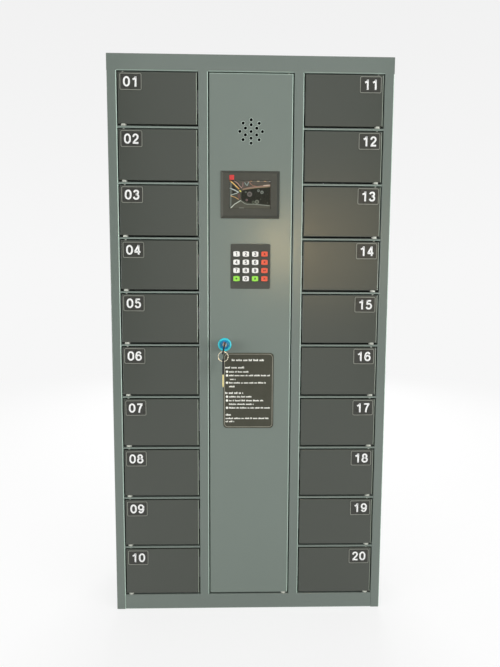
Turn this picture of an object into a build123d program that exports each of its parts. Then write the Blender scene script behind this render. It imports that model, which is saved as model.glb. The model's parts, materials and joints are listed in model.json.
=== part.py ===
from build123d import *
import os

os.makedirs("parts", exist_ok=True)

# Electronic locker cabinet for telephones: two columns of small folded steel
# doors on each side of one tall door that carries the screen, the keypad and
# the service lock.  Millimetres; X to the right, Y to the back, Z up, and the
# origin in the middle of the base.

# Cabinet shell
cabinet_width = 480
cabinet_height = 970
cabinet_depth = 200
sheet = 1.0  # steel sheet of the shell and the doors
bend_radius = 1.5  # outside radius of every fold
row_count = 10
stile_width = 16
mullion_width = 16.4
rail_height = 27.5
centre_opening = 144.6
lip_depth = 15  # edges of the front frame, folded back
rear_flange = 15
shelf_fold = 3.5  # height of a shelf's folded front edge
shelf_flange = 8

# Doors and their pin hinges
door_depth = 12
centre_door_depth = 15
side_gap = 2
top_gap = 1.8
bottom_gap = 2.6
hinge_setback = 5  # pin axis behind the front
hinge_inset = 8  # pin axis from the edge of a small door
centre_hinge_inset = 7
pin_diameter = 3
pin_clearance = 0.05
pin_reach = 3  # how far a pin stands inside a door
collar_diameter = 9
collar_clearance = 0.3
pin_head_diameter = 6  # head of an upper pin, inside the top rail
pin_head_height = 2
notch_height = 1  # relief in a door's lower edge for the collar
notch_clearance = 0.5
ear_thickness = 1.5
ear_depth = 10

# Electric locks of the small doors
lock_width = 14
lock_height = 38
lock_depth = 55
lock_setback = 14
lock_slot_width = 6
lock_slot_depth = 22
lock_mouth_bevel = 1
lock_plug_size = 8  # cable connector on the back of a lock
tongue_thickness = 2
tongue_height = 12
tongue_reach = 30
tongue_foot = 10
tongue_hole = 6
wire_slot_length = 12  # cable passage behind each lock
wire_slot_height = 8

# Fittings of the centre door, placed downwards from the speaker
speaker_drop = 94  # below the door's upper edge
speaker_hole_diameter = 5.2
inner_ring_radius = 11
inner_ring_count = 6
outer_ring_radius = 19
outer_ring_count = 8
speaker_radius = 26
speaker_depth = 20
speaker_rim_width = 4
speaker_rim_thickness = 2.5
surround_depth = 0.8  # edge of the cone behind the rim
cone_depth = 6
magnet_radius = 15
magnet_depth = 8

screen_drop = 104.5  # from the speaker to the middle of the screen
screen_x = -1.2  # a little left of the middle
bezel_width = 100
bezel_height = 79
bezel_rise = 4
bezel_bevel = 4.5
bezel_edge = 1  # upright edge under the bevel
bezel_wall = 2
bezel_neck_depth = 6
window_width = 70
window_height = 47
display_margin = 7  # glass beyond the window on each side
display_thickness = 4
board_thickness = 1.6
cut_clearance = 0.5  # of the holes cut in the door for its fittings

keypad_drop = 120.5  # from the screen to the middle of the keypad
keypad_width = 68
keypad_height = 76.5
keypad_rise = 1.5
keypad_radius = 2.5
keypad_edge_radius = 0.8
keypad_face = 2
keypad_neck = 1  # face plate beyond the box behind it
keypad_wall = 1.5
key_columns = 4
key_rows = 4
key_pitch_x = 16
key_pitch_z = 14
key_width = 10.8
key_height = 8.9
key_bulge = 0.8  # the convex top and bottom of a key
key_corner_radius = 1.2
key_rise = 2.5
key_edge_radius = 0.6
key_clearance = 0.25
key_skirt = 0.8  # rim that holds a key behind the face
key_skirt_depth = 2
key_travel = 1.0
pressed_dome_height = 3.65  # rubber dome between a pressed key and the board

service_lock_drop = 135.5  # from the keypad to the lock
service_lock_x = -44.2
rosette_diameter = 23.5
rosette_rise = 3
rosette_edge_radius = 1.2
barrel_diameter = 18
barrel_flats = 16
nut_across = 24
nut_thickness = 4
plug_diameter = 11.6
plug_recess = 0.5
cam_gap = 1.5
cam_thickness = 2
cam_width = 13
cam_length = 38
cam_screw_head = 3
cam_screw_radius = 5

plate_drop = 217  # from the keypad to the middle of the instruction plate
plate_x = -2.5  # stuck on by hand, a little off centre
plate_width = 88.2
plate_height = 134
plate_radius = 6.5
plate_thickness = 0.8

# Keys of the service lock
key_blade_length = 21.7
key_blade_width = 8
key_blade_thickness = 2
key_tip_bevel = 2.5
key_tang = 1  # blade inside the bow
key_groove_width = 1.8
key_groove_depth = 0.5
key_cuts = (0.9, 1.6, 0.7, 1.3)  # depths along the lower edge
key_first_cut = 5.6
key_cut_pitch = 4
key_cut_width = 1.6
key_bow_length = 26
key_bow_width = 20
key_bow_drop = 4  # middle of the bow below the blade
key_bow_thickness = 2.6
key_bow_radius = 6
key_bow_edge_bevel = 0.5
key_slot_length = 13
key_slot_width = 4
key_slot_margin = 2.4
key_stand_off = 5.5  # bow in front of the door
key_turn = 12  # degrees from upright, towards locked
keyway_clearance = 0.2
ring_diameter = 18.2
ring_wire = 1.5
ring_play = 0.6

# Fittings behind the centre door and in the back
supply_width = 78
supply_height = 110
supply_depth = 36
supply_bottom = 70
supply_wall = 2
terminal_count = 7
terminal_height = 14
terminal_margin = 6
terminal_rise = 6
terminal_gap = 3
barrier_rise = 4
barrier_thickness = 1.5
vent_count = 7
vent_width = 3
vent_pitch = 9
board_width = 120
board_height = 160
board_bottom = 420
standoff_height = 8
standoff_diameter = 6
standoff_inset = 6
board_edge = 3
relay_width = 18
relay_rise = 15
relay_gap = 3
plug_row_width = 7
plug_row_rise = 9
plug_row_gap = 5
processor_size = 20
processor_rise = 3
capacitor_diameter = 10
capacitor_height = 16
capacitor_gap = 4
wall_hole_diameter = 8
grommet_bore = 10
grommet_wall = 3
grommet_lip = 3
grommet_inner_lip = 3
cable_hole_height = 40

# Places that follow from the sizes above
half_width = cabinet_width / 2
front_y = -cabinet_depth / 2
back_y = cabinet_depth / 2
inner_back = back_y - 2 * sheet  # front face of the back panel
stile_inner = half_width - stile_width
mullion_inner = centre_opening / 2
mullion_outer = mullion_inner + mullion_width
stile_limits = (stile_inner, half_width)
mullion_limits = (mullion_inner, mullion_outer)
frame_top = cabinet_height - rail_height
bay_height = (frame_top - rail_height - (row_count - 1) * shelf_fold) / row_count
row_pitch = bay_height + shelf_fold
fold_radius = bend_radius - sheet / 2  # middle line of a fold
pin_y = front_y + hinge_setback
pin_x = stile_inner - side_gap - hinge_inset
centre_pin_x = mullion_inner - side_gap - centre_hinge_inset
pin_radius = pin_diameter / 2
pin_hole_radius = pin_radius + pin_clearance
collar_height = bottom_gap + notch_height - collar_clearance
tongue_x = mullion_outer + lock_width / 2
wire_slot_y = front_y + lock_setback + lock_depth + lock_plug_size + wire_slot_length

centre_door_top = frame_top - top_gap
speaker_z = centre_door_top - speaker_drop
screen_z = speaker_z - screen_drop
keypad_z = screen_z - keypad_drop
service_lock_z = keypad_z - service_lock_drop
plate_z = keypad_z - plate_drop

front = Plane.XZ.offset(-front_y)  # outer face of the frame, looking at it
sides = (-1, 1)
hinge_places = (-pin_x, pin_x, centre_pin_x)


def row_floor(row):
    """Height of the floor of a small compartment; row 0 is the top one."""
    return frame_top - row * row_pitch - bay_height


def cuboid(x_limits, y_limits, z_limits, mode=Mode.ADD):
    """Put a block between the given limits into the part being built."""
    limits = [sorted(pair) for pair in (x_limits, y_limits, z_limits)]
    with Locations(tuple(sum(pair) / 2 for pair in limits)):
        Box(*[high - low for low, high in limits], mode=mode)


def folded_profile(points):
    """Section of a folded sheet whose middle line runs through the points."""
    with BuildSketch() as profile:
        with BuildLine():
            FilletPolyline(*points, radius=fold_radius)
        trace(line_width=sheet)
    return profile.sketch


def save(part, name):
    part.label = name
    export_step(part, f"parts/{name}.step")


# ---- Shell ----

# The top is a tray whose front edge is the upper rail of the frame. Its lower fold
# stops at the stiles and mullions, which come up flush to the flat of the rail.
top_line = [
    (back_y, cabinet_height - sheet / 2),
    (front_y + sheet / 2, cabinet_height - sheet / 2),
    (front_y + sheet / 2, frame_top + sheet / 2),
    (front_y + lip_depth, frame_top + sheet / 2),
]
with BuildPart() as top_panel:
    with BuildSketch(Plane.YZ.offset(-half_width)):
        add(folded_profile(top_line))
    extrude(amount=cabinet_width)
    for side in sides:
        cuboid(
            (side * (half_width - sheet), side * half_width),
            (front_y + sheet, front_y + lip_depth),
            (frame_top, cabinet_height - sheet),
            Mode.SUBTRACT,
        )
        for upright in (stile_limits, mullion_limits):
            cuboid(
                [side * x for x in upright],
                (front_y, front_y + bend_radius),
                (frame_top, frame_top + bend_radius),
                Mode.SUBTRACT,
            )
    with Locations(*[(x, pin_y, frame_top) for x in hinge_places]):
        Cylinder(pin_hole_radius, 4 * sheet, mode=Mode.SUBTRACT)
save(top_panel.part, "top_panel")

# The bottom lies between the sides; its lower rail fills the frame between the stiles.
bottom_line = [
    (back_y, sheet / 2),
    (front_y + sheet / 2, sheet / 2),
    (front_y + sheet / 2, rail_height - sheet / 2),
    (front_y + lip_depth, rail_height - sheet / 2),
]
with BuildPart() as bottom_panel:
    with BuildSketch(Plane.YZ.offset(sheet - half_width)):
        add(folded_profile(bottom_line))
    extrude(amount=cabinet_width - 2 * sheet)
    for side in sides:
        corner = (side * stile_inner, side * half_width)
        cuboid(corner, (front_y, front_y + bend_radius), (0, rail_height), Mode.SUBTRACT)
        cuboid(corner, (front_y, front_y + lip_depth), (sheet, rail_height), Mode.SUBTRACT)
        cuboid(
            (side * (half_width - rear_flange), side * half_width),
            (back_y - bend_radius, back_y),
            (0, sheet),
            Mode.SUBTRACT,
        )
        cuboid(
            [side * x for x in mullion_limits],
            (front_y, front_y + bend_radius),
            (rail_height - bend_radius, rail_height),
            Mode.SUBTRACT,
        )
    with Locations(*[(x, pin_y, rail_height) for x in hinge_places]):
        Cylinder(pin_hole_radius, 4 * sheet, mode=Mode.SUBTRACT)
save(bottom_panel.part, "bottom_panel")

# Each side is one sheet: lip, stile, wall and rear flange.
for side, name in zip(sides, ("left_side_panel", "right_side_panel")):
    lip_x = side * (stile_inner + sheet / 2)
    wall_x = side * (half_width - sheet / 2)
    side_line = [
        (lip_x, front_y + lip_depth),
        (lip_x, front_y + sheet / 2),
        (wall_x, front_y + sheet / 2),
        (wall_x, back_y - sheet / 2),
        (side * (half_width - rear_flange), back_y - sheet / 2),
    ]
    behind_stile = (side * stile_inner, side * (half_width - sheet))
    with BuildPart() as side_panel:
        with BuildSketch():
            add(folded_profile(side_line))
        extrude(amount=cabinet_height - sheet)
        cuboid(behind_stile, (front_y, front_y + lip_depth), (frame_top, cabinet_height), Mode.SUBTRACT)
        cuboid(
            (side * (half_width - sheet), side * half_width),
            (front_y, front_y + sheet),
            (frame_top, cabinet_height),
            Mode.SUBTRACT,
        )
        cuboid(behind_stile, (front_y + sheet, front_y + lip_depth), (0, rail_height), Mode.SUBTRACT)
        cuboid(
            [side * x for x in stile_limits],
            (front_y, front_y + sheet),
            (frame_top, frame_top + bend_radius),
        )
    save(side_panel.part, name)

# Each partition carries a mullion of the frame on its front edge.
for side, name in zip(sides, ("left_partition", "right_partition")):
    wall_x = side * (mullion_outer - sheet / 2)
    lip_x = side * (mullion_inner + sheet / 2)
    partition_line = [
        (side * (mullion_outer - rear_flange), inner_back - sheet / 2),
        (wall_x, inner_back - sheet / 2),
        (wall_x, front_y + sheet / 2),
        (lip_x, front_y + sheet / 2),
        (lip_x, front_y + lip_depth),
    ]
    mullion = [side * x for x in mullion_limits]
    with BuildPart() as partition:
        with BuildSketch(Plane.XY.offset(sheet)):
            add(folded_profile(partition_line))
        extrude(amount=cabinet_height - 2 * sheet)
        cuboid(mullion, (front_y, front_y + lip_depth), (sheet, rail_height), Mode.SUBTRACT)
        cuboid(mullion, (front_y, front_y + lip_depth), (frame_top, cabinet_height), Mode.SUBTRACT)
        for flush in ((rail_height - bend_radius, rail_height), (frame_top, frame_top + bend_radius)):
            cuboid(mullion, (front_y, front_y + sheet), flush)
        # passage for the cable of each lock
        with BuildSketch(Plane.YZ.offset(wall_x)):
            with Locations((wire_slot_y, (row_floor(0) + row_floor(row_count - 1) + bay_height) / 2)):
                with GridLocations(1, row_pitch, 1, row_count):
                    Rectangle(wire_slot_length, wire_slot_height)
        extrude(amount=sheet, both=True, mode=Mode.SUBTRACT)
    save(partition.part, name)

# The back lies inside the rear flanges, with four holes for wall screws, which
# are reached through the compartments, and the hole of the cable grommet.
bay_middle_x = (stile_inner + mullion_outer) / 2
wall_hole_low = row_floor(row_count - 2) + bay_height / 2
wall_hole_high = row_floor(1) + bay_height / 2
with BuildPart() as back_panel:
    with BuildSketch(Plane.XZ.offset(-inner_back)):
        with Locations((0, cabinet_height / 2)):
            Rectangle(cabinet_width - 2 * bend_radius, cabinet_height - 2 * sheet)
        with Locations((0, (wall_hole_low + wall_hole_high) / 2)):
            with GridLocations(2 * bay_middle_x, wall_hole_high - wall_hole_low, 2, 2):
                Circle(wall_hole_diameter / 2, mode=Mode.SUBTRACT)
        with Locations((0, cable_hole_height)):
            Circle(grommet_bore / 2 + grommet_wall, mode=Mode.SUBTRACT)
    extrude(amount=-sheet)
save(back_panel.part, "back_panel")

# A shelf has a folded front edge, flush with the frame, and a flange at the back.
def shelf(side, floor_z):
    line = [
        (front_y + lip_depth, floor_z - shelf_fold + sheet / 2),
        (front_y + sheet / 2, floor_z - shelf_fold + sheet / 2),
        (front_y + sheet / 2, floor_z - sheet / 2),
        (inner_back - sheet / 2, floor_z - sheet / 2),
        (inner_back - sheet / 2, floor_z - shelf_flange),
    ]
    start = mullion_outer if side > 0 else sheet - half_width
    with BuildPart() as plate:
        with BuildSketch(Plane.YZ.offset(start)):
            add(folded_profile(line))
        extrude(amount=half_width - sheet - mullion_outer)
        cuboid(
            (side * stile_inner, side * half_width),
            (front_y, front_y + lip_depth),
            (floor_z - shelf_fold, floor_z),
            Mode.SUBTRACT,
        )
        with Locations((side * pin_x, pin_y, floor_z)):
            Cylinder(pin_hole_radius, 4 * shelf_fold, mode=Mode.SUBTRACT)
    return plate.part


def floor_plate(side):
    """Floor of the lowest compartment, level with the lower rail."""
    line = [
        (front_y + lip_depth, rail_height - sheet / 2),
        (inner_back - sheet / 2, rail_height - sheet / 2),
        (inner_back - sheet / 2, rail_height - shelf_flange),
    ]
    start = mullion_outer if side > 0 else sheet - half_width
    with BuildPart() as plate:
        with BuildSketch(Plane.YZ.offset(start)):
            add(folded_profile(line))
        extrude(amount=half_width - sheet - mullion_outer)
    return plate.part


with BuildPart() as shelves:
    for side in sides:
        for row in range(row_count - 1):
            add(shelf(side, row_floor(row)))
        add(floor_plate(side))
save(shelves.part, "shelves")


# ---- Hinges ----

# A hinge pin stands through the frame, with a collar that rests on its seat.
def hinge_pin(x, seat_z, length_above, length_below, collar_size, collar_rise):
    collar_radius = collar_size / 2
    half_outline = [
        (0, -length_below),
        (pin_radius, -length_below),
        (pin_radius, 0),
        (collar_radius, 0),
        (collar_radius, collar_rise),
        (pin_radius, collar_rise),
        (pin_radius, length_above),
        (0, length_above),
    ]
    axis_plane = Plane(origin=(x, pin_y, seat_z), x_dir=(1, 0, 0), z_dir=(0, -1, 0))
    with BuildPart() as pin:
        with BuildSketch(axis_plane):
            with BuildLine():
                Polyline(*half_outline, close=True)
            make_face()
        revolve(axis=Axis((x, pin_y, seat_z), (0, 0, 1)))
    return pin.part


pin_top = bottom_gap + notch_height + ear_thickness + pin_reach  # above a collar's seat
pin_tail = top_gap + sheet + pin_reach  # below a rail or shelf
with BuildPart() as hinge_pins:
    for x in (-pin_x, pin_x):
        for row in range(row_count - 1):
            seat_z = row_floor(row)
            add(hinge_pin(x, seat_z, pin_top, shelf_fold + pin_tail, collar_diameter, collar_height))
    for x in hinge_places:
        add(hinge_pin(x, rail_height, pin_top, 2 * sheet, collar_diameter, collar_height))
        add(
            hinge_pin(
                x,
                frame_top + sheet,
                pin_head_height + sheet,
                sheet + pin_tail,
                pin_head_diameter,
                pin_head_height,
            )
        )
save(hinge_pins.part, "hinge_pins")


# A door is a folded tray, open at the back, with an ear for the lower hinge pin
# above a relief that lets the pin's collar in.
def folded_door(x_limits, z_limits, depth, hinge_x, inset):
    left, right = sorted(x_limits)
    bottom, top = z_limits
    notch_radius = collar_diameter / 2 + notch_clearance
    ear_width = 2 * (inset - sheet)
    with BuildPart() as tray:
        with BuildSketch(front):
            with Locations(((left + right) / 2, (bottom + top) / 2)):
                Rectangle(right - left, top - bottom)
        extrude(amount=-depth)
        fillet(tray.faces().sort_by(Axis.Y)[0].edges(), bend_radius)
        offset(amount=-sheet, openings=tray.faces().sort_by(Axis.Y)[-1])
        with BuildSketch(Plane.XY.offset(bottom)):
            with Locations((hinge_x, pin_y)):
                Circle(notch_radius)
                Rectangle(2 * notch_radius, hinge_setback, align=(Align.CENTER, Align.MAX))
        extrude(amount=notch_height, mode=Mode.SUBTRACT)
        cuboid(
            (hinge_x - ear_width / 2, hinge_x + ear_width / 2),
            (front_y + sheet, front_y + sheet + ear_depth),
            (bottom + notch_height, bottom + notch_height + ear_thickness),
        )
        with Locations((hinge_x, pin_y, (bottom + top) / 2)):
            Cylinder(pin_hole_radius, top - bottom, mode=Mode.SUBTRACT)
    return tray.part


# ---- Small doors and their electric locks ----

for column, side in enumerate(sides):
    for row in range(row_count):
        floor_z = row_floor(row)
        middle_z = floor_z + bay_height / 2
        edges_x = (side * (stile_inner - side_gap), side * (mullion_outer + side_gap))
        edges_z = (floor_z + bottom_gap, floor_z + bay_height - top_gap)
        tongue_end = front_y + tongue_reach
        foot_align = (Align.MIN if side > 0 else Align.MAX, Align.MIN)
        with BuildPart() as door:
            add(folded_door(edges_x, edges_z, door_depth, side * pin_x, hinge_inset))
            # striker tongue, folded from a strip and welded to the skin
            with BuildSketch(Plane.XY.offset(middle_z - tongue_height / 2)):
                with Locations((side * tongue_x, front_y + sheet)):
                    Rectangle(tongue_foot, tongue_thickness, align=foot_align)
                with Locations((side * tongue_x, front_y + sheet)):
                    Rectangle(tongue_thickness, tongue_reach - sheet, align=(Align.CENTER, Align.MIN))
            extrude(amount=tongue_height)
            with Locations(Plane.YZ * Location((tongue_end - tongue_hole, middle_z, side * tongue_x))):
                Cylinder(tongue_hole / 2, 2 * tongue_thickness, mode=Mode.SUBTRACT)
        save(door.part, f"door_{column * row_count + row + 1:02d}")


# The lock case is open down its front for the tongue of the door.
def lock_case(side, middle_z):
    lock_front = front_y + lock_setback
    with BuildPart() as case:
        with BuildSketch(Plane.XY.offset(middle_z - lock_height / 2)):
            with Locations((side * tongue_x, lock_front)):
                Rectangle(lock_width, lock_depth, align=(Align.CENTER, Align.MIN))
                Rectangle(
                    lock_slot_width, lock_slot_depth, align=(Align.CENTER, Align.MIN), mode=Mode.SUBTRACT
                )
        extrude(amount=lock_height)
        mouth = case.faces().filter_by(Plane.YZ).edges().filter_by(Axis.Z).group_by(Axis.Y)[0]
        chamfer(mouth, lock_mouth_bevel)
        with Locations((side * tongue_x, lock_front + lock_depth, middle_z)):
            plug_align = (Align.CENTER, Align.MIN, Align.CENTER)
            Box(lock_plug_size, lock_plug_size, lock_plug_size, align=plug_align)
    return case.part


with BuildPart() as door_locks:
    for side in sides:
        for row in range(row_count):
            add(lock_case(side, row_floor(row) + bay_height / 2))
save(door_locks.part, "door_locks")


# ---- Centre door ----

bezel_neck_width = bezel_width - 2 * bezel_bevel
bezel_neck_height = bezel_height - 2 * bezel_bevel
keypad_box_width = keypad_width - 2 * keypad_neck
keypad_box_height = keypad_height - 2 * keypad_neck
with BuildPart() as centre_door:
    add(
        folded_door(
            (side_gap - mullion_inner, mullion_inner - side_gap),
            (rail_height + bottom_gap, centre_door_top),
            centre_door_depth,
            centre_pin_x,
            centre_hinge_inset,
        )
    )
    with BuildSketch(front):
        with Locations((0, speaker_z)):
            Circle(speaker_hole_diameter / 2)
            with PolarLocations(inner_ring_radius, inner_ring_count, start_angle=90):
                Circle(speaker_hole_diameter / 2)
            with PolarLocations(outer_ring_radius, outer_ring_count):
                Circle(speaker_hole_diameter / 2)
        with Locations((screen_x, screen_z)):
            Rectangle(bezel_neck_width + cut_clearance, bezel_neck_height + cut_clearance)
        with Locations((0, keypad_z)):
            Rectangle(keypad_box_width + cut_clearance, keypad_box_height + cut_clearance)
    extrude(amount=-2 * sheet, mode=Mode.SUBTRACT)
    with BuildSketch(front):
        with Locations((service_lock_x, service_lock_z)):
            Circle((barrel_diameter + cut_clearance) / 2)
            Rectangle(
                barrel_diameter + cut_clearance, barrel_flats + cut_clearance, mode=Mode.INTERSECT
            )
    extrude(amount=-2 * sheet, mode=Mode.SUBTRACT)
save(centre_door.part, "centre_door")

# Moulded bezel: bevelled border, window and a neck through the door.
with BuildPart() as screen_bezel:
    with BuildSketch(front):
        with Locations((screen_x, screen_z)):
            Rectangle(bezel_width, bezel_height)
    extrude(amount=bezel_rise)
    chamfer(
        screen_bezel.faces().sort_by(Axis.Y)[0].edges(),
        length=bezel_bevel,
        length2=bezel_rise - bezel_edge,
        reference=screen_bezel.faces().sort_by(Axis.Y)[0],
    )
    with BuildSketch(front):
        with Locations((screen_x, screen_z)):
            Rectangle(bezel_neck_width, bezel_neck_height)
    extrude(amount=-bezel_neck_depth)
    with BuildSketch(front.offset(bezel_rise - bezel_wall)):
        with Locations((screen_x, screen_z)):
            Rectangle(bezel_neck_width - 2 * bezel_wall, bezel_neck_height - 2 * bezel_wall)
    extrude(amount=-2 * bezel_neck_depth, mode=Mode.SUBTRACT)
    with BuildSketch(front):
        with Locations((screen_x, screen_z)):
            Rectangle(window_width, window_height)
    extrude(amount=2 * bezel_rise, mode=Mode.SUBTRACT)
save(screen_bezel.part, "screen_bezel")

with BuildPart() as screen_panel:
    with BuildSketch(front.offset(bezel_rise - bezel_wall)):
        with Locations((screen_x, screen_z)):
            Rectangle(window_width + 2 * display_margin, window_height + 2 * display_margin)
    extrude(amount=-display_thickness)
    with BuildSketch(front.offset(bezel_rise - bezel_wall - display_thickness)):
        with Locations((screen_x, screen_z)):
            Rectangle(window_width + 2 * display_margin, window_height + 2 * display_margin)
    extrude(amount=-board_thickness)
save(screen_panel.part, "screen_panel")


def key_outline(margin):
    """Key with straight sides and convex ends, grown by the margin."""
    half_w = key_width / 2 + margin
    half_h = key_height / 2 + margin
    shoulder = half_h - key_bulge
    with BuildSketch() as outline:
        with BuildLine():
            ThreePointArc((-half_w, shoulder), (0, half_h), (half_w, shoulder))
            Line((half_w, shoulder), (half_w, -shoulder))
            ThreePointArc((half_w, -shoulder), (0, -half_h), (-half_w, -shoulder))
            Line((-half_w, -shoulder), (-half_w, shoulder))
        make_face()
        fillet(outline.vertices(), key_corner_radius + margin)
    return outline.sketch


# The housing holds the keys between its face and a contact board.
skirt_depth = keypad_face - keypad_rise + key_clearance + key_skirt_depth  # behind the front
keypad_box_depth = skirt_depth + key_travel + pressed_dome_height + board_thickness
keypad_inner_depth = keypad_box_depth - board_thickness
with BuildPart() as keypad_housing:
    with BuildSketch(front):
        with Locations((0, keypad_z)):
            RectangleRounded(keypad_width, keypad_height, keypad_radius)
    extrude(amount=keypad_rise)
    fillet(keypad_housing.faces().sort_by(Axis.Y)[0].edges(), keypad_edge_radius)
    with BuildSketch(front):
        with Locations((0, keypad_z)):
            Rectangle(keypad_box_width, keypad_box_height)
    extrude(amount=-keypad_box_depth)
    with BuildSketch(front.offset(keypad_rise - keypad_face)):
        with Locations((0, keypad_z)):
            Rectangle(keypad_box_width - 2 * keypad_wall, keypad_box_height - 2 * keypad_wall)
    extrude(amount=-keypad_inner_depth, mode=Mode.SUBTRACT)
    with BuildSketch(front.offset(keypad_rise)):
        with Locations((0, keypad_z)):
            with GridLocations(key_pitch_x, key_pitch_z, key_columns, key_rows):
                add(key_outline(key_clearance))
    extrude(amount=-2 * keypad_face, mode=Mode.SUBTRACT)
save(keypad_housing.part, "keypad_housing")

# Sixteen keys, numbered along the rows from the top left.
for index in range(key_columns * key_rows):
    key_x = (index % key_columns - (key_columns - 1) / 2) * key_pitch_x
    key_z = keypad_z - (index // key_columns - (key_rows - 1) / 2) * key_pitch_z
    key_place = Plane(origin=(key_x, front_y - keypad_rise, key_z), x_dir=(1, 0, 0), z_dir=(0, -1, 0))
    skirt_place = key_place.offset(-keypad_face - key_clearance)
    with BuildPart() as keypad_key:
        with BuildSketch(skirt_place):
            add(key_outline(0))
        extrude(amount=keypad_face + key_clearance + key_rise)
        fillet(keypad_key.faces().sort_by(Axis.Y)[0].edges(), key_edge_radius)
        with BuildSketch(skirt_place):
            add(key_outline(key_skirt))
        extrude(amount=-key_skirt_depth)
    save(keypad_key.part, f"keypad_key_{index + 1:02d}")

with BuildPart() as instruction_plate:
    with BuildSketch(front):
        with Locations((plate_x, plate_z)):
            RectangleRounded(plate_width, plate_height, plate_radius)
    extrude(amount=plate_thickness)
save(instruction_plate.part, "instruction_plate")

# Loudspeaker behind the pierced skin: flange, dished cone, basket and magnet.
cone_radius = speaker_radius - speaker_rim_width
speaker_line = [
    (0, sheet + cone_depth),
    (magnet_radius / 2, sheet + cone_depth),
    (cone_radius, sheet + surround_depth),
    (cone_radius, sheet),
    (speaker_radius, sheet),
    (speaker_radius, sheet + speaker_rim_thickness),
    (magnet_radius, sheet + speaker_depth - magnet_depth),
    (magnet_radius, sheet + speaker_depth),
    (0, sheet + speaker_depth),
]
with BuildPart() as speaker:
    with BuildSketch(Plane(origin=(0, front_y, speaker_z), x_dir=(1, 0, 0), z_dir=(0, 0, 1))):
        with BuildLine():
            Polyline(*speaker_line, close=True)
        make_face()
    revolve(axis=Axis((0, front_y, speaker_z), (0, 1, 0)))
save(speaker.part, "speaker")


# ---- Service lock and its keys ----

lock_axis_plane = Plane(
    origin=(service_lock_x, front_y, service_lock_z), x_dir=(1, 0, 0), z_dir=(0, -1, 0)
)
across_key = Vector(1, 0, 0).rotate(Axis.Y, key_turn)
plug_plane = Plane(origin=lock_axis_plane.origin, x_dir=across_key, z_dir=(0, -1, 0))
key_reach = key_blade_length - key_stand_off  # tip of the blade behind the front
cam_y = max(key_reach, lip_depth, centre_door_depth) + cam_gap  # behind the frame's lip
plug_radius = plug_diameter / 2
with BuildPart() as cam_lock_barrel:
    with BuildSketch(lock_axis_plane):
        Circle(rosette_diameter / 2)
    extrude(amount=rosette_rise)
    fillet(cam_lock_barrel.faces().sort_by(Axis.Y)[0].edges(), rosette_edge_radius)
    with BuildSketch(lock_axis_plane):
        Circle(barrel_diameter / 2)
        Rectangle(barrel_diameter, barrel_flats, mode=Mode.INTERSECT)
    extrude(amount=-(cam_y - cam_gap / 2))
    with Locations(lock_axis_plane):
        Cylinder(plug_radius + pin_clearance, 4 * cam_y, mode=Mode.SUBTRACT)
with BuildPart() as barrel_nut:
    with BuildSketch(lock_axis_plane.offset(-sheet)):
        RegularPolygon(nut_across / 2, 6, major_radius=False)
        Circle(barrel_diameter / 2 + pin_clearance, mode=Mode.SUBTRACT)
    extrude(amount=-nut_thickness)
save(Compound([*cam_lock_barrel.solids(), *barrel_nut.solids()]), "cam_lock_barrel")

# Plug with its keyway and the cam, which hangs nearly straight down while unlocked.
keyway_depth = key_reach + rosette_rise + keyway_clearance
with BuildPart() as lock_plug:
    with BuildSketch(plug_plane.offset(rosette_rise - plug_recess)):
        Circle(plug_radius)
    extrude(amount=-(cam_y + rosette_rise - plug_recess))
    with BuildSketch(plug_plane.offset(rosette_rise)):
        Rectangle(key_blade_thickness + 2 * keyway_clearance, key_blade_width + 2 * keyway_clearance)
    extrude(amount=-keyway_depth, mode=Mode.SUBTRACT)
    with BuildSketch(plug_plane.offset(-cam_y)):
        with Locations((0, -(cam_length - cam_width) / 2)):
            SlotOverall(cam_length, cam_width, rotation=90)
    extrude(amount=-cam_thickness)
    with BuildSketch(plug_plane.offset(-cam_y - cam_thickness)):
        RegularPolygon(cam_screw_radius, 6)
    extrude(amount=-cam_screw_head)
save(lock_plug.part, "lock_plug")


# A flat key: the blade runs from the origin along local -X and the bow along +X,
# with the middle of the bow off the blade's axis, towards +Y.
def flat_key(place):
    half = key_blade_width / 2
    shoulder = key_tip_bevel - key_blade_length
    slot_middle = key_bow_length - key_slot_margin - key_slot_width / 2
    with BuildPart() as blank:
        with BuildSketch(place.offset(-key_bow_thickness / 2)):
            with Locations((key_bow_length / 2, key_bow_drop)):
                RectangleRounded(key_bow_length, key_bow_width, key_bow_radius)
            with Locations((slot_middle, key_bow_drop)):
                SlotOverall(key_slot_length, key_slot_width, rotation=90, mode=Mode.SUBTRACT)
        extrude(amount=key_bow_thickness)
        chamfer(blank.faces().filter_by(place).edges(), key_bow_edge_bevel)
        with BuildSketch(place):
            with BuildLine():
                Polyline(
                    (key_tang, half),
                    (shoulder, half),
                    (-key_blade_length, half - key_tip_bevel),
                    (-key_blade_length, key_tip_bevel - half),
                    (shoulder, -half),
                    (key_tang, -half),
                    close=True,
                )
            make_face()
            for number, depth in enumerate(key_cuts):
                with Locations((-key_first_cut - number * key_cut_pitch, -half)):
                    Rectangle(key_cut_width, 2 * depth, mode=Mode.SUBTRACT)
        extrude(amount=key_blade_thickness / 2, both=True)
        # groove along one side of the blade
        with BuildSketch(place.offset(key_blade_thickness / 2)):
            Rectangle(key_blade_length, key_groove_width, align=(Align.MAX, Align.MIN))
        extrude(amount=-key_groove_depth, mode=Mode.SUBTRACT)
    return blank.part


# The first key stands in the lock, and the spare hangs from it on a ring.
key_place = Plane(
    origin=(service_lock_x, front_y - key_stand_off, service_lock_z), x_dir=(0, -1, 0), z_dir=across_key
)
save(flat_key(key_place), "key")

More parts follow.
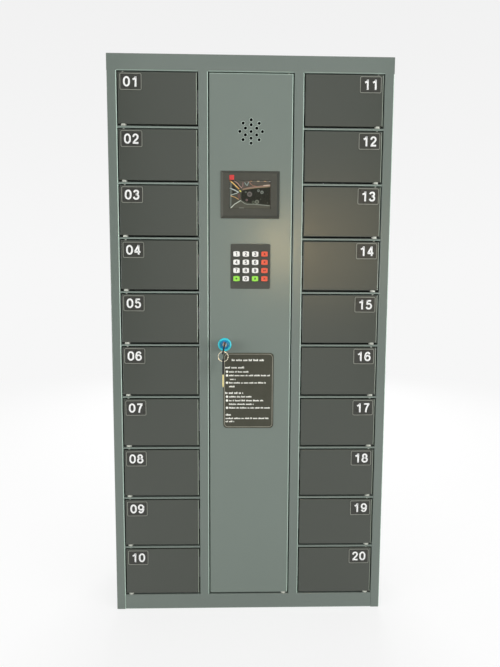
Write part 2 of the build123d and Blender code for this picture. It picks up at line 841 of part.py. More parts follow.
wire_radius = ring_wire / 2
ring_radius = ring_diameter / 2 - wire_radius
slot_reach = key_bow_length - key_slot_margin - key_slot_width / 2
ring_drop = key_bow_drop + key_slot_length / 2 - wire_radius - ring_play
ring_top = key_place.from_local_coords(Vector(slot_reach, ring_drop))
ring_place = Plane(origin=ring_top - Vector(0, 0, ring_radius), z_dir=(0, -1, 0))
with BuildPart() as key_ring:
    with Locations(ring_place):
        Torus(ring_radius, wire_radius)
save(key_ring.part, "key_ring")

spare_drop = 2 * ring_radius - wire_radius - ring_play + key_bow_length - key_slot_margin
spare_place = Plane(origin=ring_top - Vector(0, 0, spare_drop), x_dir=(0, 0, 1), z_dir=(-1, 0, 0))
save(flat_key(spare_place), "spare_key")


# ---- Power supply, control board and grommet ----

inner_wall = Plane.XZ.offset(-inner_back)  # the back panel seen from the front
with BuildPart() as power_supply:
    with BuildSketch(inner_wall):
        with Locations((0, supply_bottom)):
            Rectangle(supply_width, supply_height, align=(Align.CENTER, Align.MIN))
    extrude(amount=supply_depth)
    # open step for the screw terminals
    with BuildSketch(inner_wall.offset(supply_depth)):
        with Locations((0, supply_bottom)):
            Rectangle(supply_width - 2 * supply_wall, terminal_height, align=(Align.CENTER, Align.MIN))
    extrude(amount=-supply_depth / 2, mode=Mode.SUBTRACT)
    terminal_pitch = (supply_width - 2 * terminal_margin) / terminal_count
    terminal_depth = terminal_height - terminal_gap
    with BuildSketch(inner_wall.offset(supply_depth / 2)):
        with Locations((0, supply_bottom + terminal_height / 2)):
            Rectangle(terminal_pitch * terminal_count + barrier_thickness, terminal_depth)
    extrude(amount=terminal_rise)
    with BuildSketch(inner_wall.offset(supply_depth / 2 + terminal_rise)):
        with Locations((0, supply_bottom + terminal_height / 2)):
            with GridLocations(terminal_pitch, 1, terminal_count + 1, 1):
                Rectangle(barrier_thickness, terminal_depth)
    extrude(amount=barrier_rise)
    with BuildSketch(inner_wall.offset(supply_depth)):
        with Locations((0, supply_bottom + (supply_height + terminal_height) / 2)):
            with GridLocations(vent_pitch, 1, vent_count, 1):
                Rectangle(vent_width, supply_height / 2)
    extrude(amount=-vent_width, mode=Mode.SUBTRACT)
save(power_supply.part, "power_supply")

board_middle = board_bottom + board_height / 2
with BuildPart() as control_board:
    with BuildSketch(inner_wall):
        with Locations((0, board_middle)):
            with GridLocations(board_width - 2 * standoff_inset, board_height - 2 * standoff_inset, 2, 2):
                Circle(standoff_diameter / 2)
    extrude(amount=standoff_height)
    with BuildSketch(inner_wall.offset(standoff_height)):
        with Locations((0, board_middle)):
            Rectangle(board_width, board_height)
    extrude(amount=board_thickness)
    board_face = inner_wall.offset(standoff_height + board_thickness)
    relay_pitch = (board_height - 2 * board_edge) / row_count
    relay_x = board_width - 2 * (board_edge + plug_row_width) - relay_width - relay_gap
    # a relay and a cable connector for each of the electric locks
    with BuildSketch(board_face):
        with Locations((0, board_middle)):
            with GridLocations(relay_x, relay_pitch, 2, row_count):
                Rectangle(relay_width, relay_pitch - relay_gap)
    extrude(amount=relay_rise)
    with BuildSketch(board_face):
        with Locations((0, board_middle)):
            with GridLocations(board_width - 2 * board_edge - plug_row_width, relay_pitch, 2, row_count):
                Rectangle(plug_row_width, relay_pitch - plug_row_gap)
    extrude(amount=plug_row_rise)
    with BuildSketch(board_face):
        with Locations((0, board_middle)):
            Rectangle(processor_size, processor_size)
            with Locations((0, -2 * processor_size)):
                Rectangle(processor_size, processor_size / 2)
    extrude(amount=processor_rise)
    with BuildSketch(board_face):
        with Locations((0, board_middle + 2 * processor_size)):
            with GridLocations(capacitor_diameter + capacitor_gap, 1, 2, 1):
                Circle(capacitor_diameter / 2)
    extrude(amount=capacitor_height)
save(control_board.part, "control_board")

grommet_radius = grommet_bore / 2 + grommet_wall  # in the hole of the back panel
grommet_line = [
    (grommet_bore / 2, back_y),
    (grommet_radius + grommet_lip, back_y),
    (grommet_radius + grommet_lip, back_y - sheet),
    (grommet_radius, back_y - sheet),
    (grommet_radius, inner_back),
    (grommet_radius + grommet_lip, inner_back),
    (grommet_radius + grommet_lip, inner_back - grommet_inner_lip),
    (grommet_bore / 2, inner_back - grommet_inner_lip),
]
with BuildPart() as cable_grommet:
    with BuildSketch(Plane(origin=(0, 0, cable_hole_height), x_dir=(1, 0, 0), z_dir=(0, 0, 1))):
        with BuildLine():
            Polyline(*grommet_line, close=True)
        make_face()
    revolve(axis=Axis((0, 0, cable_hole_height), (0, 1, 0)))
save(cable_grommet.part, "cable_grommet")
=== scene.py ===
import json
import math
import random

import bmesh
import bpy
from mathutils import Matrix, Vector


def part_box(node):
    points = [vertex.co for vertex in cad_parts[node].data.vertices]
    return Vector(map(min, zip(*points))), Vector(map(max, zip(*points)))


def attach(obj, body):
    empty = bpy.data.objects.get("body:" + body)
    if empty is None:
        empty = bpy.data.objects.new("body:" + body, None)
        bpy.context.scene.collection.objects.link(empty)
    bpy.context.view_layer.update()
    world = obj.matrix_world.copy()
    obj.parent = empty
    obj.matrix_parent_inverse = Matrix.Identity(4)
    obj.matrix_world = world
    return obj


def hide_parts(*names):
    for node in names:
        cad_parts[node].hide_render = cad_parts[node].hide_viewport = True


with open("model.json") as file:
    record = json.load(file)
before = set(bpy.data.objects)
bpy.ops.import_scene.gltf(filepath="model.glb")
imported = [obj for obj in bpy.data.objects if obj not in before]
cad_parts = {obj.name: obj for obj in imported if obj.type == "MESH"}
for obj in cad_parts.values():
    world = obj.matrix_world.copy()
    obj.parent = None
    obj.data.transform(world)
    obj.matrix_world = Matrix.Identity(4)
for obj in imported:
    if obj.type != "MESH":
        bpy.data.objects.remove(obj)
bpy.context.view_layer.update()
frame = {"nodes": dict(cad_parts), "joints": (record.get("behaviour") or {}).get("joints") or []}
nodes = frame["nodes"]
scene = bpy.context.scene
doorNodes = [f"door_{number:02d}" for number in range(1, 21)]  # down the left column, then the right
doorsInColumn = 10
upright = (math.radians(90), 0, 0)  # turns what lies flat to face the front
keypadNodes = [f"keypad_key_{number:02d}" for number in range(1, 17)]  # row by row
print("frame loaded:", len(nodes), "nodes")


# handling of pieces

def deselectAll():
    if bpy.context.object and bpy.context.object.mode != "OBJECT":
        bpy.ops.object.mode_set(mode="OBJECT")
    bpy.ops.object.select_all(action="DESELECT")


def takeUp(piece):  # the only selected piece, and the active one
    deselectAll()
    piece.select_set(True)
    bpy.context.view_layer.objects.active = piece


def nameIt(name):
    piece = bpy.context.object
    piece.name = name
    piece.data.name = name
    return piece


def settle(piece):  # the place goes into the mesh, the object back to the origin
    takeUp(piece)
    bpy.ops.object.transform_apply(location=True, rotation=True, scale=True)
    return piece


def applyModifiers(piece):
    takeUp(piece)
    for modifier in list(piece.modifiers):
        bpy.ops.object.modifier_apply(modifier=modifier.name)


def startEdit(piece, mode="FACE"):
    takeUp(piece)
    bpy.ops.object.mode_set(mode="EDIT")
    bpy.ops.mesh.select_mode(type=mode)
    bpy.ops.mesh.select_all(action="SELECT")


def endEdit():
    bpy.ops.object.mode_set(mode="OBJECT")


def closeSurface():  # in edit mode, on everything: one skin with its normals outwards
    bpy.ops.mesh.select_all(action="SELECT")
    bpy.ops.mesh.remove_doubles(threshold=1e-6)
    bpy.ops.mesh.normals_make_consistent(inside=False)


def smooth(piece, angle=35):
    takeUp(piece)
    bpy.ops.object.shade_smooth_by_angle(angle=math.radians(angle))


def giveLooks(piece, *looks):
    piece.data.materials.clear()
    for look in looks:
        piece.data.materials.append(look)


def paintSelected(piece, number):  # in edit mode
    piece.active_material_index = number
    bpy.ops.object.material_slot_assign()


def joinAll(pieces, name):
    deselectAll()
    for piece in pieces:
        piece.select_set(True)
    bpy.context.view_layer.objects.active = pieces[0]
    bpy.ops.object.join()
    return nameIt(name)


def copyOf(master, name):
    piece = master.copy()
    piece.data = master.data.copy()
    piece.name = piece.data.name = name
    scene.collection.objects.link(piece)
    return piece


def scatter(master, places, name):  # each place has a turn about Z in degrees; the master is removed
    copies = []
    for place, turn in places:
        piece = copyOf(master, name)
        piece.location = place
        piece.rotation_euler = (0, 0, math.radians(turn))
        copies.append(settle(piece))
    bpy.data.objects.remove(master)
    return joinAll(copies, name)


def middleOf(box):
    return (box[0] + box[1]) / 2


def frontOf(node):  # the middle of its front
    place = middleOf(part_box(node))
    place.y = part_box(node)[0].y
    return place


def jointPlace(name):
    return Vector(next(joint["pos_m"] for joint in frame["joints"] if joint["name"] == name))


# colours and node trees

def tint(red, green, blue):  # 0 to 255, as seen on a screen
    def linear(value):
        value /= 255
        return value / 12.92 if value <= 0.04045 else ((value + 0.055) / 1.055) ** 2.4
    return (linear(red), linear(green), linear(blue), 1.0)


def fill(socket, value):  # with a link or with a plain value
    if isinstance(value, bpy.types.NodeSocket):
        socket.id_data.links.new(value, socket)
    else:
        socket.default_value = value


def addNode(tree, kind, inputs=None, **settings):
    node = tree.nodes.new("ShaderNode" + kind)
    for name, value in settings.items():
        setattr(node, name, value)
    for name, value in (inputs or {}).items():
        fill(node.inputs[name], value)
    return node


# the next three take a socket and add to the tree that it is in

def mixColours(factor, *colours):  # two, each a socket or red, green and blue as for tint
    first, second = [side if isinstance(side, bpy.types.NodeSocket) else tint(*side) for side in colours]
    node = addNode(factor.id_data, "Mix", {0: factor, 6: first, 7: second}, data_type="RGBA")
    return node.outputs[2]


def mapped(value, fromLow, fromHigh, low, high):
    settings = {"Value": value, "From Min": fromLow, "From Max": fromHigh, "To Min": low, "To Max": high}
    return addNode(value.id_data, "MapRange", settings).outputs["Result"]


noiseSpan = (0.3, 0.7)  # nearly all of a noise lies between these


def noise(place, size, detail=2.0):  # patches about this size in metres
    settings = {"Vector": place, "Scale": 1 / size, "Detail": detail}
    return addNode(place.id_data, "TexNoise", settings).outputs["Fac"]


def newMaterial(name):
    material = bpy.data.materials.new(name)
    material.use_nodes = True
    return material


class Look:  # a material that is being built up
    def __init__(self, name, roughness, metallic=0.0):
        self.material = newMaterial(name)
        self.tree = self.material.node_tree
        self.shader = self.tree.nodes["Principled BSDF"]
        self.set("Roughness", roughness)
        self.set("Metallic", metallic)
        self.place = addNode(self.tree, "TexCoord").outputs["Object"]

    def set(self, name, value):
        fill(self.shader.inputs[name], value)

    def mottle(self, colour, other, size):  # patches of two colours
        patches = mapped(noise(self.place, size, detail=3.0), *noiseSpan, low=0.0, high=1.0)
        return mixColours(patches, colour, other)

    def roughen(self, low, high, size):  # patches of duller and brighter surface
        self.set("Roughness", mapped(noise(self.place, size), *noiseSpan, low, high))

    def emboss(self, height, strength, depth):
        bump = addNode(self.tree, "Bump", {"Height": height, "Strength": strength, "Distance": depth})
        self.set("Normal", bump.outputs["Normal"])

    def grain(self, size, depth):
        self.emboss(noise(self.place, size), strength=0.6, depth=depth)

    def along(self, axis):  # the place on X, Y or Z
        return addNode(self.tree, "SeparateXYZ", {0: self.place}).outputs[axis]


# where a bend starts and is full, where it fades and is flat again: how far it faces one way, up to 1
bendSpan = {"start": 0.1, "full": 0.35, "fading": 0.93, "flat": 0.99}


def bendShare(tree, ways):  # up to 1 on the bends that turn one of these ways, 0 on the flats: the mask for painted highlights and painted shade on bends
    normal = addNode(tree, "TexCoord").outputs["Normal"]
    share = 0.0
    for way, strength in ways:
        facing = addNode(tree, "VectorMath", {0: normal, 1: way}, operation="DOT_PRODUCT").outputs["Value"]
        rise = mapped(facing, bendSpan["start"], bendSpan["full"], 0.0, strength)
        fall = mapped(facing, bendSpan["fading"], bendSpan["flat"], 1.0, 0.0)
        bend = addNode(tree, "Math", {0: rise, 1: fall}, operation="MULTIPLY").outputs[0]
        share = addNode(tree, "Math", {0: bend, 1: share}, operation="MAXIMUM").outputs[0]
    return share


coatSizes = {"patch": 0.22, "speck": 0.0011, "dullPatch": 0.03, "peelDepth": 0.00004}


def powderCoat(name, colour, other, roughness, peel=0.0009, bendHighlight=None, ways=()):  # bends turned these ways get a painted highlight colour
    sizes = coatSizes
    look = Look(name, roughness[0])
    coat = look.mottle(colour, other, sizes["patch"])
    dots = noise(look.place, sizes["speck"], detail=1.0)
    specks = mapped(dots, fromLow=0.62, fromHigh=0.74, low=0.0, high=0.35)
    coat = mixColours(specks, coat, other)
    if ways:
        coat = mixColours(bendShare(look.tree, ways), coat, bendHighlight)
    look.set("Base Color", coat)
    look.roughen(*roughness, sizes["dullPatch"])
    look.grain(peel, sizes["peelDepth"])
    return look.material


def moulded(name, colour, other, roughness, grainSize=0.0006, grainDepth=0.00002, gloss=0.5):
    look = Look(name, roughness[0])
    look.set("Specular IOR Level", gloss)
    look.set("Base Color", look.mottle(colour, other, size=0.012))
    look.roughen(*roughness, size=0.008)
    look.grain(grainSize, grainDepth)
    return look.material


def plated(name, colour, other, roughness, spangle=0.004):
    look = Look(name, roughness[0], metallic=1.0)
    cells = addNode(look.tree, "TexVoronoi", {"Vector": look.place, "Scale": 1 / spangle})
    flakes = mapped(cells.outputs["Distance"], fromLow=0.0, fromHigh=0.8, low=0.0, high=1.0)
    look.set("Base Color", mixColours(flakes, colour, other))
    look.roughen(*roughness, size=spangle)
    look.grain(size=spangle / 6, depth=0.00001)
    return look.material


def brushed(name, colour, other, roughness, scale):  # lines run along the axis with the small number
    look = Look(name, roughness[0], metallic=1.0)
    place = addNode(look.tree, "Mapping", {"Vector": look.place, "Scale": scale}).outputs["Vector"]
    lines = noise(place, size=0.0006, detail=4.0)
    look.set("Base Color", mixColours(lines, colour, other))
    look.set("Roughness", mapped(lines, *noiseSpan, *roughness))
    look.emboss(lines, strength=0.3, depth=0.00001)
    return look.material


# finishes of the cabinet

toRight, toLeft, upwards, downwards = (1, 0, 0), (-1, 0, 0), (0, 0, 1), (0, 0, -1)
# the bend colours are painted highlights: bends facing right, and down on the frame or up on the centre
# door, are painted paler
cabinetPaint = powderCoat("cabinetPaint", (113, 123, 116), (111, 121, 114), (0.21, 0.23),
                          bendHighlight=(198, 222, 207), ways=((toRight, 1.0), (downwards, 0.35)))
centrePaint = powderCoat("centrePaint", (117, 128, 120), (115, 126, 118), (0.21, 0.23),
                         bendHighlight=(198, 222, 207), ways=((toRight, 1.0), (upwards, 0.8)))
doorPaint = powderCoat("doorPaint", (70, 74, 67), (69, 73, 66), (0.24, 0.25),
                       bendHighlight=(149, 159, 144), ways=((toRight, 1.0),))
pinSteel = moulded("pinSteel", (206, 208, 196), (184, 187, 176), (0.3, 0.42), grainSize=0.002)
zincSteel = plated("zincSteel", (176, 179, 180), (150, 154, 156), (0.32, 0.48))
brushedSheet = brushed("brushedSheet", (196, 198, 200), (168, 170, 172), (0.28, 0.4), (1, 1, 0.02))
rubber = moulded("rubber", (38, 38, 38), (30, 30, 31), (0.7, 0.85))
keypadPlastic = moulded("keypadPlastic", (80, 81, 75), (76, 77, 71), (0.4, 0.5), gloss=0.15)
speakerPaper = moulded("speakerPaper", (8, 8, 8), (5, 5, 5), (0.8, 0.95), gloss=0.1)
keyPlastics = {
    "white": moulded("whiteKeys", (252, 251, 246), (248, 247, 241), (0.34, 0.46)),
    "red": moulded("redKeys", (240, 96, 68), (232, 89, 62), (0.34, 0.46)),
    "green": moulded("greenKeys", (164, 240, 86), (154, 232, 78), (0.34, 0.46)),
}


def keyColour(number):  # the last of each row is red, and the first and third of the lowest row green
    return "red" if number % 4 == 0 else "green" if number in (13, 15) else "white"


def dress(look, *names):
    for name in names:
        for slot in nodes[name].material_slots:
            slot.material = look


dress(cabinetPaint, "top_panel", "bottom_panel", "left_side_panel", "right_side_panel", "back_panel")
dress(cabinetPaint, "left_partition", "right_partition", "shelves")
dress(centrePaint, "centre_door")
dress(doorPaint, *doorNodes)
dress(pinSteel, "hinge_pins")
dress(zincSteel, "door_locks")
dress(brushedSheet, "power_supply")
dress(rubber, "cable_grommet")
dress(keypadPlastic, "keypad_housing")
dress(speakerPaper, "speaker")
for number, node in enumerate(keypadNodes, 1):
    dress(keyPlastics[keyColour(number)], node)


def bezelLook():  # its bevels get a painted highlight on the left and painted shade on the other sides
    look = Look("bezelPlastic", 0.44)
    look.set("Specular IOR Level", 0.12)
    face = look.mottle((80, 80, 73), (76, 76, 69), size=0.012)
    # painted shade on the bevels facing right, down and up, and a painted highlight on the left one
    paintedShadeBevels = bendShare(look.tree, ((toRight, 1.0), (downwards, 0.15), (upwards, 0.2)))
    paintedLightBevel = bendShare(look.tree, ((toLeft, 1.0),))
    shadedFace = mixColours(paintedShadeBevels, face, (47, 48, 42))
    look.set("Base Color", mixColours(paintedLightBevel, shadedFace, (93, 93, 85)))
    look.roughen(0.4, 0.48, size=0.008)
    look.grain(size=0.0006, depth=0.00002)
    return look.material


dress(bezelLook(), "screen_bezel")
print("cabinet finishes done")


# the control board: green with paler tracks, and blue parts that stand out in front of it

boardSizes = {"tracks": 160.0, "trackWidth": 0.03, "front": (0.0099, 0.0097)}  # its front, from the back


def boardLook():
    sizes = boardSizes
    look = Look("circuitBoard", 0.45)
    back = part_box("control_board")[1].y
    lacquer = look.mottle((24, 92, 52), (16, 74, 42), size=0.006)
    tracks = addNode(look.tree, "TexBrick", {
        "Vector": look.place, "Scale": sizes["tracks"], "Mortar Size": sizes["trackWidth"],
    })
    green = mixColours(tracks.outputs["Fac"], lacquer, (60, 132, 82))
    near, far = [back - reach for reach in sizes["front"]]
    parts = mapped(look.along("Y"), near, far, low=1.0, high=0.0)
    look.set("Base Color", mixColours(parts, green, (32, 60, 120)))
    look.roughen(0.35, 0.5, size=0.01)
    look.grain(size=0.0009, depth=0.00002)
    return look.material


dress(boardLook(), "control_board")
plateVinyl = moulded("plateVinyl", (71, 71, 60), (67, 67, 56), (0.3, 0.38), gloss=0.25)
dress(plateVinyl, "instruction_plate")


# keys: black plastic bow, brass blade, divided where the bow ends

keyFinish = {"bowLength": 0.026, "blur": 0.00005, "bladeMetallic": 0.7}


def keyLook(name, node, axis, bowIsLow):  # the bow is at the low or the high end of this axis
    sizes = keyFinish
    look = Look(name, 0.4)
    look.set("Specular IOR Level", 0.3)
    low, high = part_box(node)
    edge = low[axis] + sizes["bowLength"] if bowIsLow else high[axis] - sizes["bowLength"]
    shares = (1.0, 0.0) if bowIsLow else (0.0, 1.0)
    bow = mapped(look.along(axis), edge - sizes["blur"], edge + sizes["blur"], *shares)
    brass = look.mottle((252, 242, 184), (238, 224, 158), size=0.003)
    plastic = look.mottle((30, 30, 31), (22, 22, 23), size=0.004)
    look.set("Base Color", mixColours(bow, brass, plastic))
    look.set("Metallic", mapped(bow, 0.0, 1.0, sizes["bladeMetallic"], 0.0))
    look.roughen(0.42, 0.55, size=0.004)
    look.grain(size=0.0005, depth=0.00001)
    return look.material


dress(keyLook("keyInLock", "key", 1, True), "key")
dress(keyLook("keyOnRing", "spare_key", 2, False), "spare_key")
print("key finishes done")


# the plug: nickel, with a blue painted rim and a red dot on its face

plugFace = {"rim": 0.0036, "dotRadius": 0.0008, "dotPlace": (-0.0014, 0, 0.0041), "blur": 0.00015}


def plugLook():
    sizes = plugFace
    look = Look("plugNickel", 0.28, metallic=1.0)
    centre = jointPlace("lock_turn")
    spot = addNode(look.tree, "Mapping", {"Vector": look.place, "Location": (-centre.x, 0, -centre.z),
                                          "Scale": (1, 0, 1)}).outputs["Vector"]
    front = mapped(look.along("Y"), centre.y, centre.y + sizes["blur"], 1.0, 0.0)

    def within(shift, radius):
        moved = addNode(look.tree, "VectorMath", {0: spot, 1: shift}, operation="SUBTRACT").outputs[0]
        away = addNode(look.tree, "VectorMath", {0: moved}, operation="LENGTH").outputs["Value"]
        return mapped(away, radius, radius + sizes["blur"], 1.0, 0.0)

    metal = look.mottle((206, 205, 198), (176, 176, 170), size=0.002)
    core = within((0, 0, 0), sizes["rim"])
    paint = mixColours(core, (22, 132, 178), metal)
    face = mixColours(within(sizes["dotPlace"], sizes["dotRadius"]), paint, (206, 62, 84))
    look.set("Base Color", mixColours(front, metal, face))
    rim = addNode(look.tree, "Math", {0: front, 1: core}, operation="SUBTRACT", use_clamp=True).outputs[0]
    look.set("Metallic", mapped(rim, 0.0, 1.0, 1.0, 0.0))
    look.roughen(0.22, 0.34, size=0.002)
    look.grain(size=0.0006, depth=0.00001)
    return look.material


dress(plugLook(), "lock_plug")
print("lock plug finish done")


# number labels of the small doors

labelSizes = {
    "width": 0.0376, "height": 0.0284, "corner": 0.0034, "thickness": 0.00025,
    "margin": 0.0007, "border": 0.0011, "fromSide": 0.0030, "fromTop": 0.0019,
    "wander": 0.0005, "tilt": 0.5,  # stuck on by hand; the tilt in degrees
    "digitHeight": 0.0168, "digitPitch": 0.0134, "digitThickness": 0.00016,
}
labelGrain = 0.0012
labelFace = moulded("labelFace", (62, 62, 58), (59, 60, 55), (0.26, 0.34), labelGrain, gloss=0.3)
labelBorder = moulded("labelBorder", (140, 143, 132), (132, 135, 125), (0.3, 0.4), labelGrain)
labelInk = moulded("labelInk", (252, 252, 250), (246, 246, 244), (0.35, 0.45), labelGrain)


def uprightPlane(name, width, height, centre):  # faces the front
    deselectAll()
    bpy.ops.mesh.primitive_plane_add(size=1, location=centre, rotation=upright)
    plane = nameIt(name)
    plane.scale = (width, height, 1)
    return settle(plane)


def roundCorners(plate, corner, segments=6):
    startEdit(plate, "VERT")
    bpy.ops.mesh.bevel(offset=corner, segments=segments, affect="VERTICES")
    endEdit()


def roundedPlate(name, width, height, corner, centre):
    plate = uprightPlane(name, width, height, centre)
    roundCorners(plate, corner)
    return plate


def thicken(piece, thickness):  # towards the side that the faces look to, with the back on the old face
    solidify = piece.modifiers.new("thickness", "SOLIDIFY")
    solidify.thickness = thickness
    solidify.offset = 1
    applyModifiers(piece)


# centre lines of the digits and signs, about a box 58 wide and 100 high; a loop ends where it starts
digitStrokes = {
    "0": [[(0, 50), (7, 86), (29, 100), (51, 86), (58, 50), (51, 14), (29, 0), (7, 14), (0, 50)]],
    "1": [[(40, -10), (40, 110)], [(42, 103), (28, 85), (7, 74)]],
    "2": [[(3, 70), (10, 91), (29, 100), (48, 92), (55, 73), (46, 51), (22, 25), (6, 2)],
          [(-3, 0), (62, 0)]],
    "3": [[(4, 78), (12, 94), (29, 100), (47, 93), (52, 77), (44, 60), (24, 54)],
          [(24, 54), (46, 47), (56, 28), (47, 7), (27, 0), (9, 6), (1, 24)]],
    "4": [[(43, -10), (43, 110)], [(43, 106), (0, 27)], [(-7, 25), (64, 25)]],
    "5": [[(8, 100), (55, 100)], [(14, 106), (6, 50)],
          [(6, 52), (27, 63), (48, 55), (57, 32), (48, 8), (27, 0), (9, 6), (1, 23)]],
    "6": [[(54, 78), (46, 94), (30, 100), (11, 88), (1, 50), (7, 14), (29, 0), (50, 10), (57, 32),
           (49, 53), (30, 62), (12, 53), (3, 36)]],
    "7": [[(-2, 100), (62, 100)], [(56, 98), (37, 62), (25, 25), (21, -10)]],
    "8": [[(29, 53), (46, 61), (52, 77), (45, 94), (29, 100), (13, 94), (6, 77), (12, 61), (29, 53)],
          [(29, 53), (50, 45), (58, 26), (49, 7), (29, 0), (9, 7), (0, 26), (8, 45), (29, 53)]],
    "up": [[(0, 20), (29, 84)], [(29, 84), (58, 20)], [(0, 24), (58, 24)], [(29, 70), (29, 20)],
           [(16, 40), (42, 40)]],
    "back": [[(75, 90), (75, 40)], [(85, 42), (-15, 42)], [(-15, 42), (15, 70)], [(-15, 42), (15, 14)]],
    "cross": [[(-5, 12), (63, 88)], [(-5, 88), (63, 12)]],
    "star": [[(29, 10), (29, 90)], [(-8, 28), (66, 72)], [(-8, 72), (66, 28)]],
    "hash": [[(5, 0), (20, 100)], [(38, 0), (53, 100)], [(-8, 33), (60, 33)], [(-2, 67), (66, 67)]],
}
digitStrokes["9"] = [[(58 - x, 100 - z) for x, z in stroke] for stroke in digitStrokes["6"]]
digitStrokes["down"] = [[(x, 100 - z) for x, z in stroke] for stroke in digitStrokes["up"]]
digitSizes = {"weight": 0.225, "widening": 1.06, "middle": (29, 50), "curveSteps": 6}


def makeDigit(sign):  # upright, facing the front, its full height 1 and its middle at the origin
    sizes = digitSizes
    deselectAll()
    bpy.ops.curve.primitive_bezier_curve_add(location=(0, 0, 0))
    piece = nameIt("digit")
    line = piece.data
    middleX, middleZ = sizes["middle"]
    line.splines.clear()
    for stroke in digitStrokes[sign]:
        loop = stroke[0] == stroke[-1]
        spline = line.splines.new("BEZIER")
        spline.bezier_points.add(len(stroke) - 1 - loop)
        spline.use_cyclic_u = loop
        for point, (x, z) in zip(spline.bezier_points, stroke):
            point.co = ((x - middleX) / 100 * sizes["widening"], (z - middleZ) / 100, 0)
            point.handle_left_type = point.handle_right_type = "AUTO"
    line.dimensions = "3D"
    line.twist_mode = "Z_UP"
    line.resolution_u = sizes["curveSteps"]
    line.bevel_depth = sizes["weight"] / 2
    line.bevel_resolution = 1
    line.use_fill_caps = True
    bpy.ops.object.convert(target="MESH")
    piece = bpy.context.object
    piece.rotation_euler = upright
    piece.scale = [1 / (1 + sizes["weight"])] * 3
    settle(piece)
    startEdit(piece)
    closeSurface()
    endEdit()
    return piece


digitMasters = {sign: makeDigit(sign) for sign in digitStrokes}


def placeDigit(sign, centre, height, thickness, ink):
    piece = copyOf(digitMasters[sign], "digit")
    piece.location = centre
    flat = (1 + digitSizes["weight"]) / digitSizes["weight"]
    piece.scale = (height, thickness * flat, height)
    settle(piece)
    giveLooks(piece, ink)
    return piece


def makeLabelPlate():
    sizes = labelSizes
    plate = roundedPlate("labelPlate", sizes["width"], sizes["height"], sizes["corner"], (0, 0, 0))
    giveLooks(plate, labelFace, labelBorder)
    startEdit(plate)
    bpy.ops.mesh.inset(thickness=sizes["margin"])
    paintSelected(plate, 1)
    bpy.ops.mesh.inset(thickness=sizes["border"])
    paintSelected(plate, 0)
    endEdit()
    thicken(plate, sizes["thickness"])
    return plate


def makeLabels():
    sizes = labelSizes
    chance = random.Random(11)
    master = makeLabelPlate()
    inset = sizes["fromSide"] + sizes["width"] / 2
    for number, door in enumerate(doorNodes, 1):
        low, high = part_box(door)
        x = low.x + inset if number <= doorsInColumn else high.x - inset
        z = high.z - sizes["fromTop"] - sizes["height"] / 2
        plate = copyOf(master, "plate")
        digits = []
        for side, sign in zip((-1, 1), f"{number:02d}"):
            centre = (side * sizes["digitPitch"] / 2, -sizes["thickness"], 0)
            digits.append(placeDigit(sign, centre, sizes["digitHeight"], sizes["digitThickness"], labelInk))
        label = joinAll([plate, *digits], f"numberLabel_{number:02d}")
        shift = [chance.uniform(-1, 1) * sizes["wander"] for _ in range(2)]
        label.location = (x + shift[0], low.y, z + shift[1])
        label.rotation_euler = (0, math.radians(chance.uniform(-1, 1) * sizes["tilt"]), 0)
        settle(label)
        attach(label, door)
    bpy.data.objects.remove(master)


makeLabels()
print("number labels done")


# legends of the keypad

legendSizes = {"height": 0.0062, "signHeight": 0.0048, "thickness": 0.0001}
legendInks = {  # by the colour of the key
    "white": moulded("legendInk", (30, 28, 26), (26, 24, 22), (0.5, 0.6)),
    "red": moulded("legendDark", (92, 34, 24), (84, 30, 20), (0.5, 0.6)),
    "green": moulded("legendOlive", (56, 92, 32), (50, 84, 28), (0.5, 0.6)),
}


def makeLegends():
    sizes = legendSizes
    signs = ["1", "2", "3", "up", "4", "5", "6", "down", "7", "8", "9", "back", "star", "0", "hash", "cross"]
    for number, (key, sign) in enumerate(zip(keypadNodes, signs), 1):
        height = sizes["height"] if sign.isdigit() else sizes["signHeight"]
        ink = legendInks[keyColour(number)]
        legend = placeDigit(sign, frontOf(key), height, sizes["thickness"], ink)
        legend.name = legend.data.name = f"keyLegend_{number:02d}"
        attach(legend, key)


makeLegends()
for master in digitMasters.values():
    bpy.data.objects.remove(master)
print("keypad legends done")


# print of the instruction plate: a border and lines that stand for words

printSizes = {
    "border": 0.0019, "borderWidth": 0.0006, "corner": 0.006, "ink": 0.00005,
    "heading": 0.0036, "title": 0.0034, "text": 0.0027,  # heights of the lines
    "bullet": 0.0043, "bulletPlace": 0.073,  # the place is a share of the plate's width
    # as shares of the height of the line
    "letterWidths": (0.42, 0.72), "letterHeights": (0.72, 0.72, 1.0), "letterFill": 0.8, "wordGap": 0.6,
    "wordLengths": (2, 8),
}
# kind, left end, right end and height above the plate's lower edge, as shares of the plate
printLines = [
    ("heading", 0.165, 0.815, 0.906),
    ("title", 0.035, 0.420, 0.808),
    ("text", 0.112, 0.516, 0.752),
    ("text", 0.112, 0.938, 0.703),
    ("text", 0.130, 0.255, 0.653),
    ("text", 0.112, 0.860, 0.606),
    ("text", 0.112, 0.228, 0.555),
    ("title", 0.035, 0.402, 0.471),
    ("text", 0.112, 0.571, 0.420),
    ("text", 0.112, 0.815, 0.369),
    ("text", 0.112, 0.620, 0.321),
    ("text", 0.112, 0.938, 0.272),
    ("title", 0.048, 0.168, 0.180),
    ("text", 0.044, 0.912, 0.131),
    ("text", 0.044, 0.237, 0.089),
]
bulletLines = (2, 3, 5, 8, 9, 11)
printInk = moulded("printInk", (252, 252, 242), (244, 244, 234), (0.4, 0.5))
borderInk = moulded("borderInk", (183, 181, 164), (172, 170, 153), (0.4, 0.5))


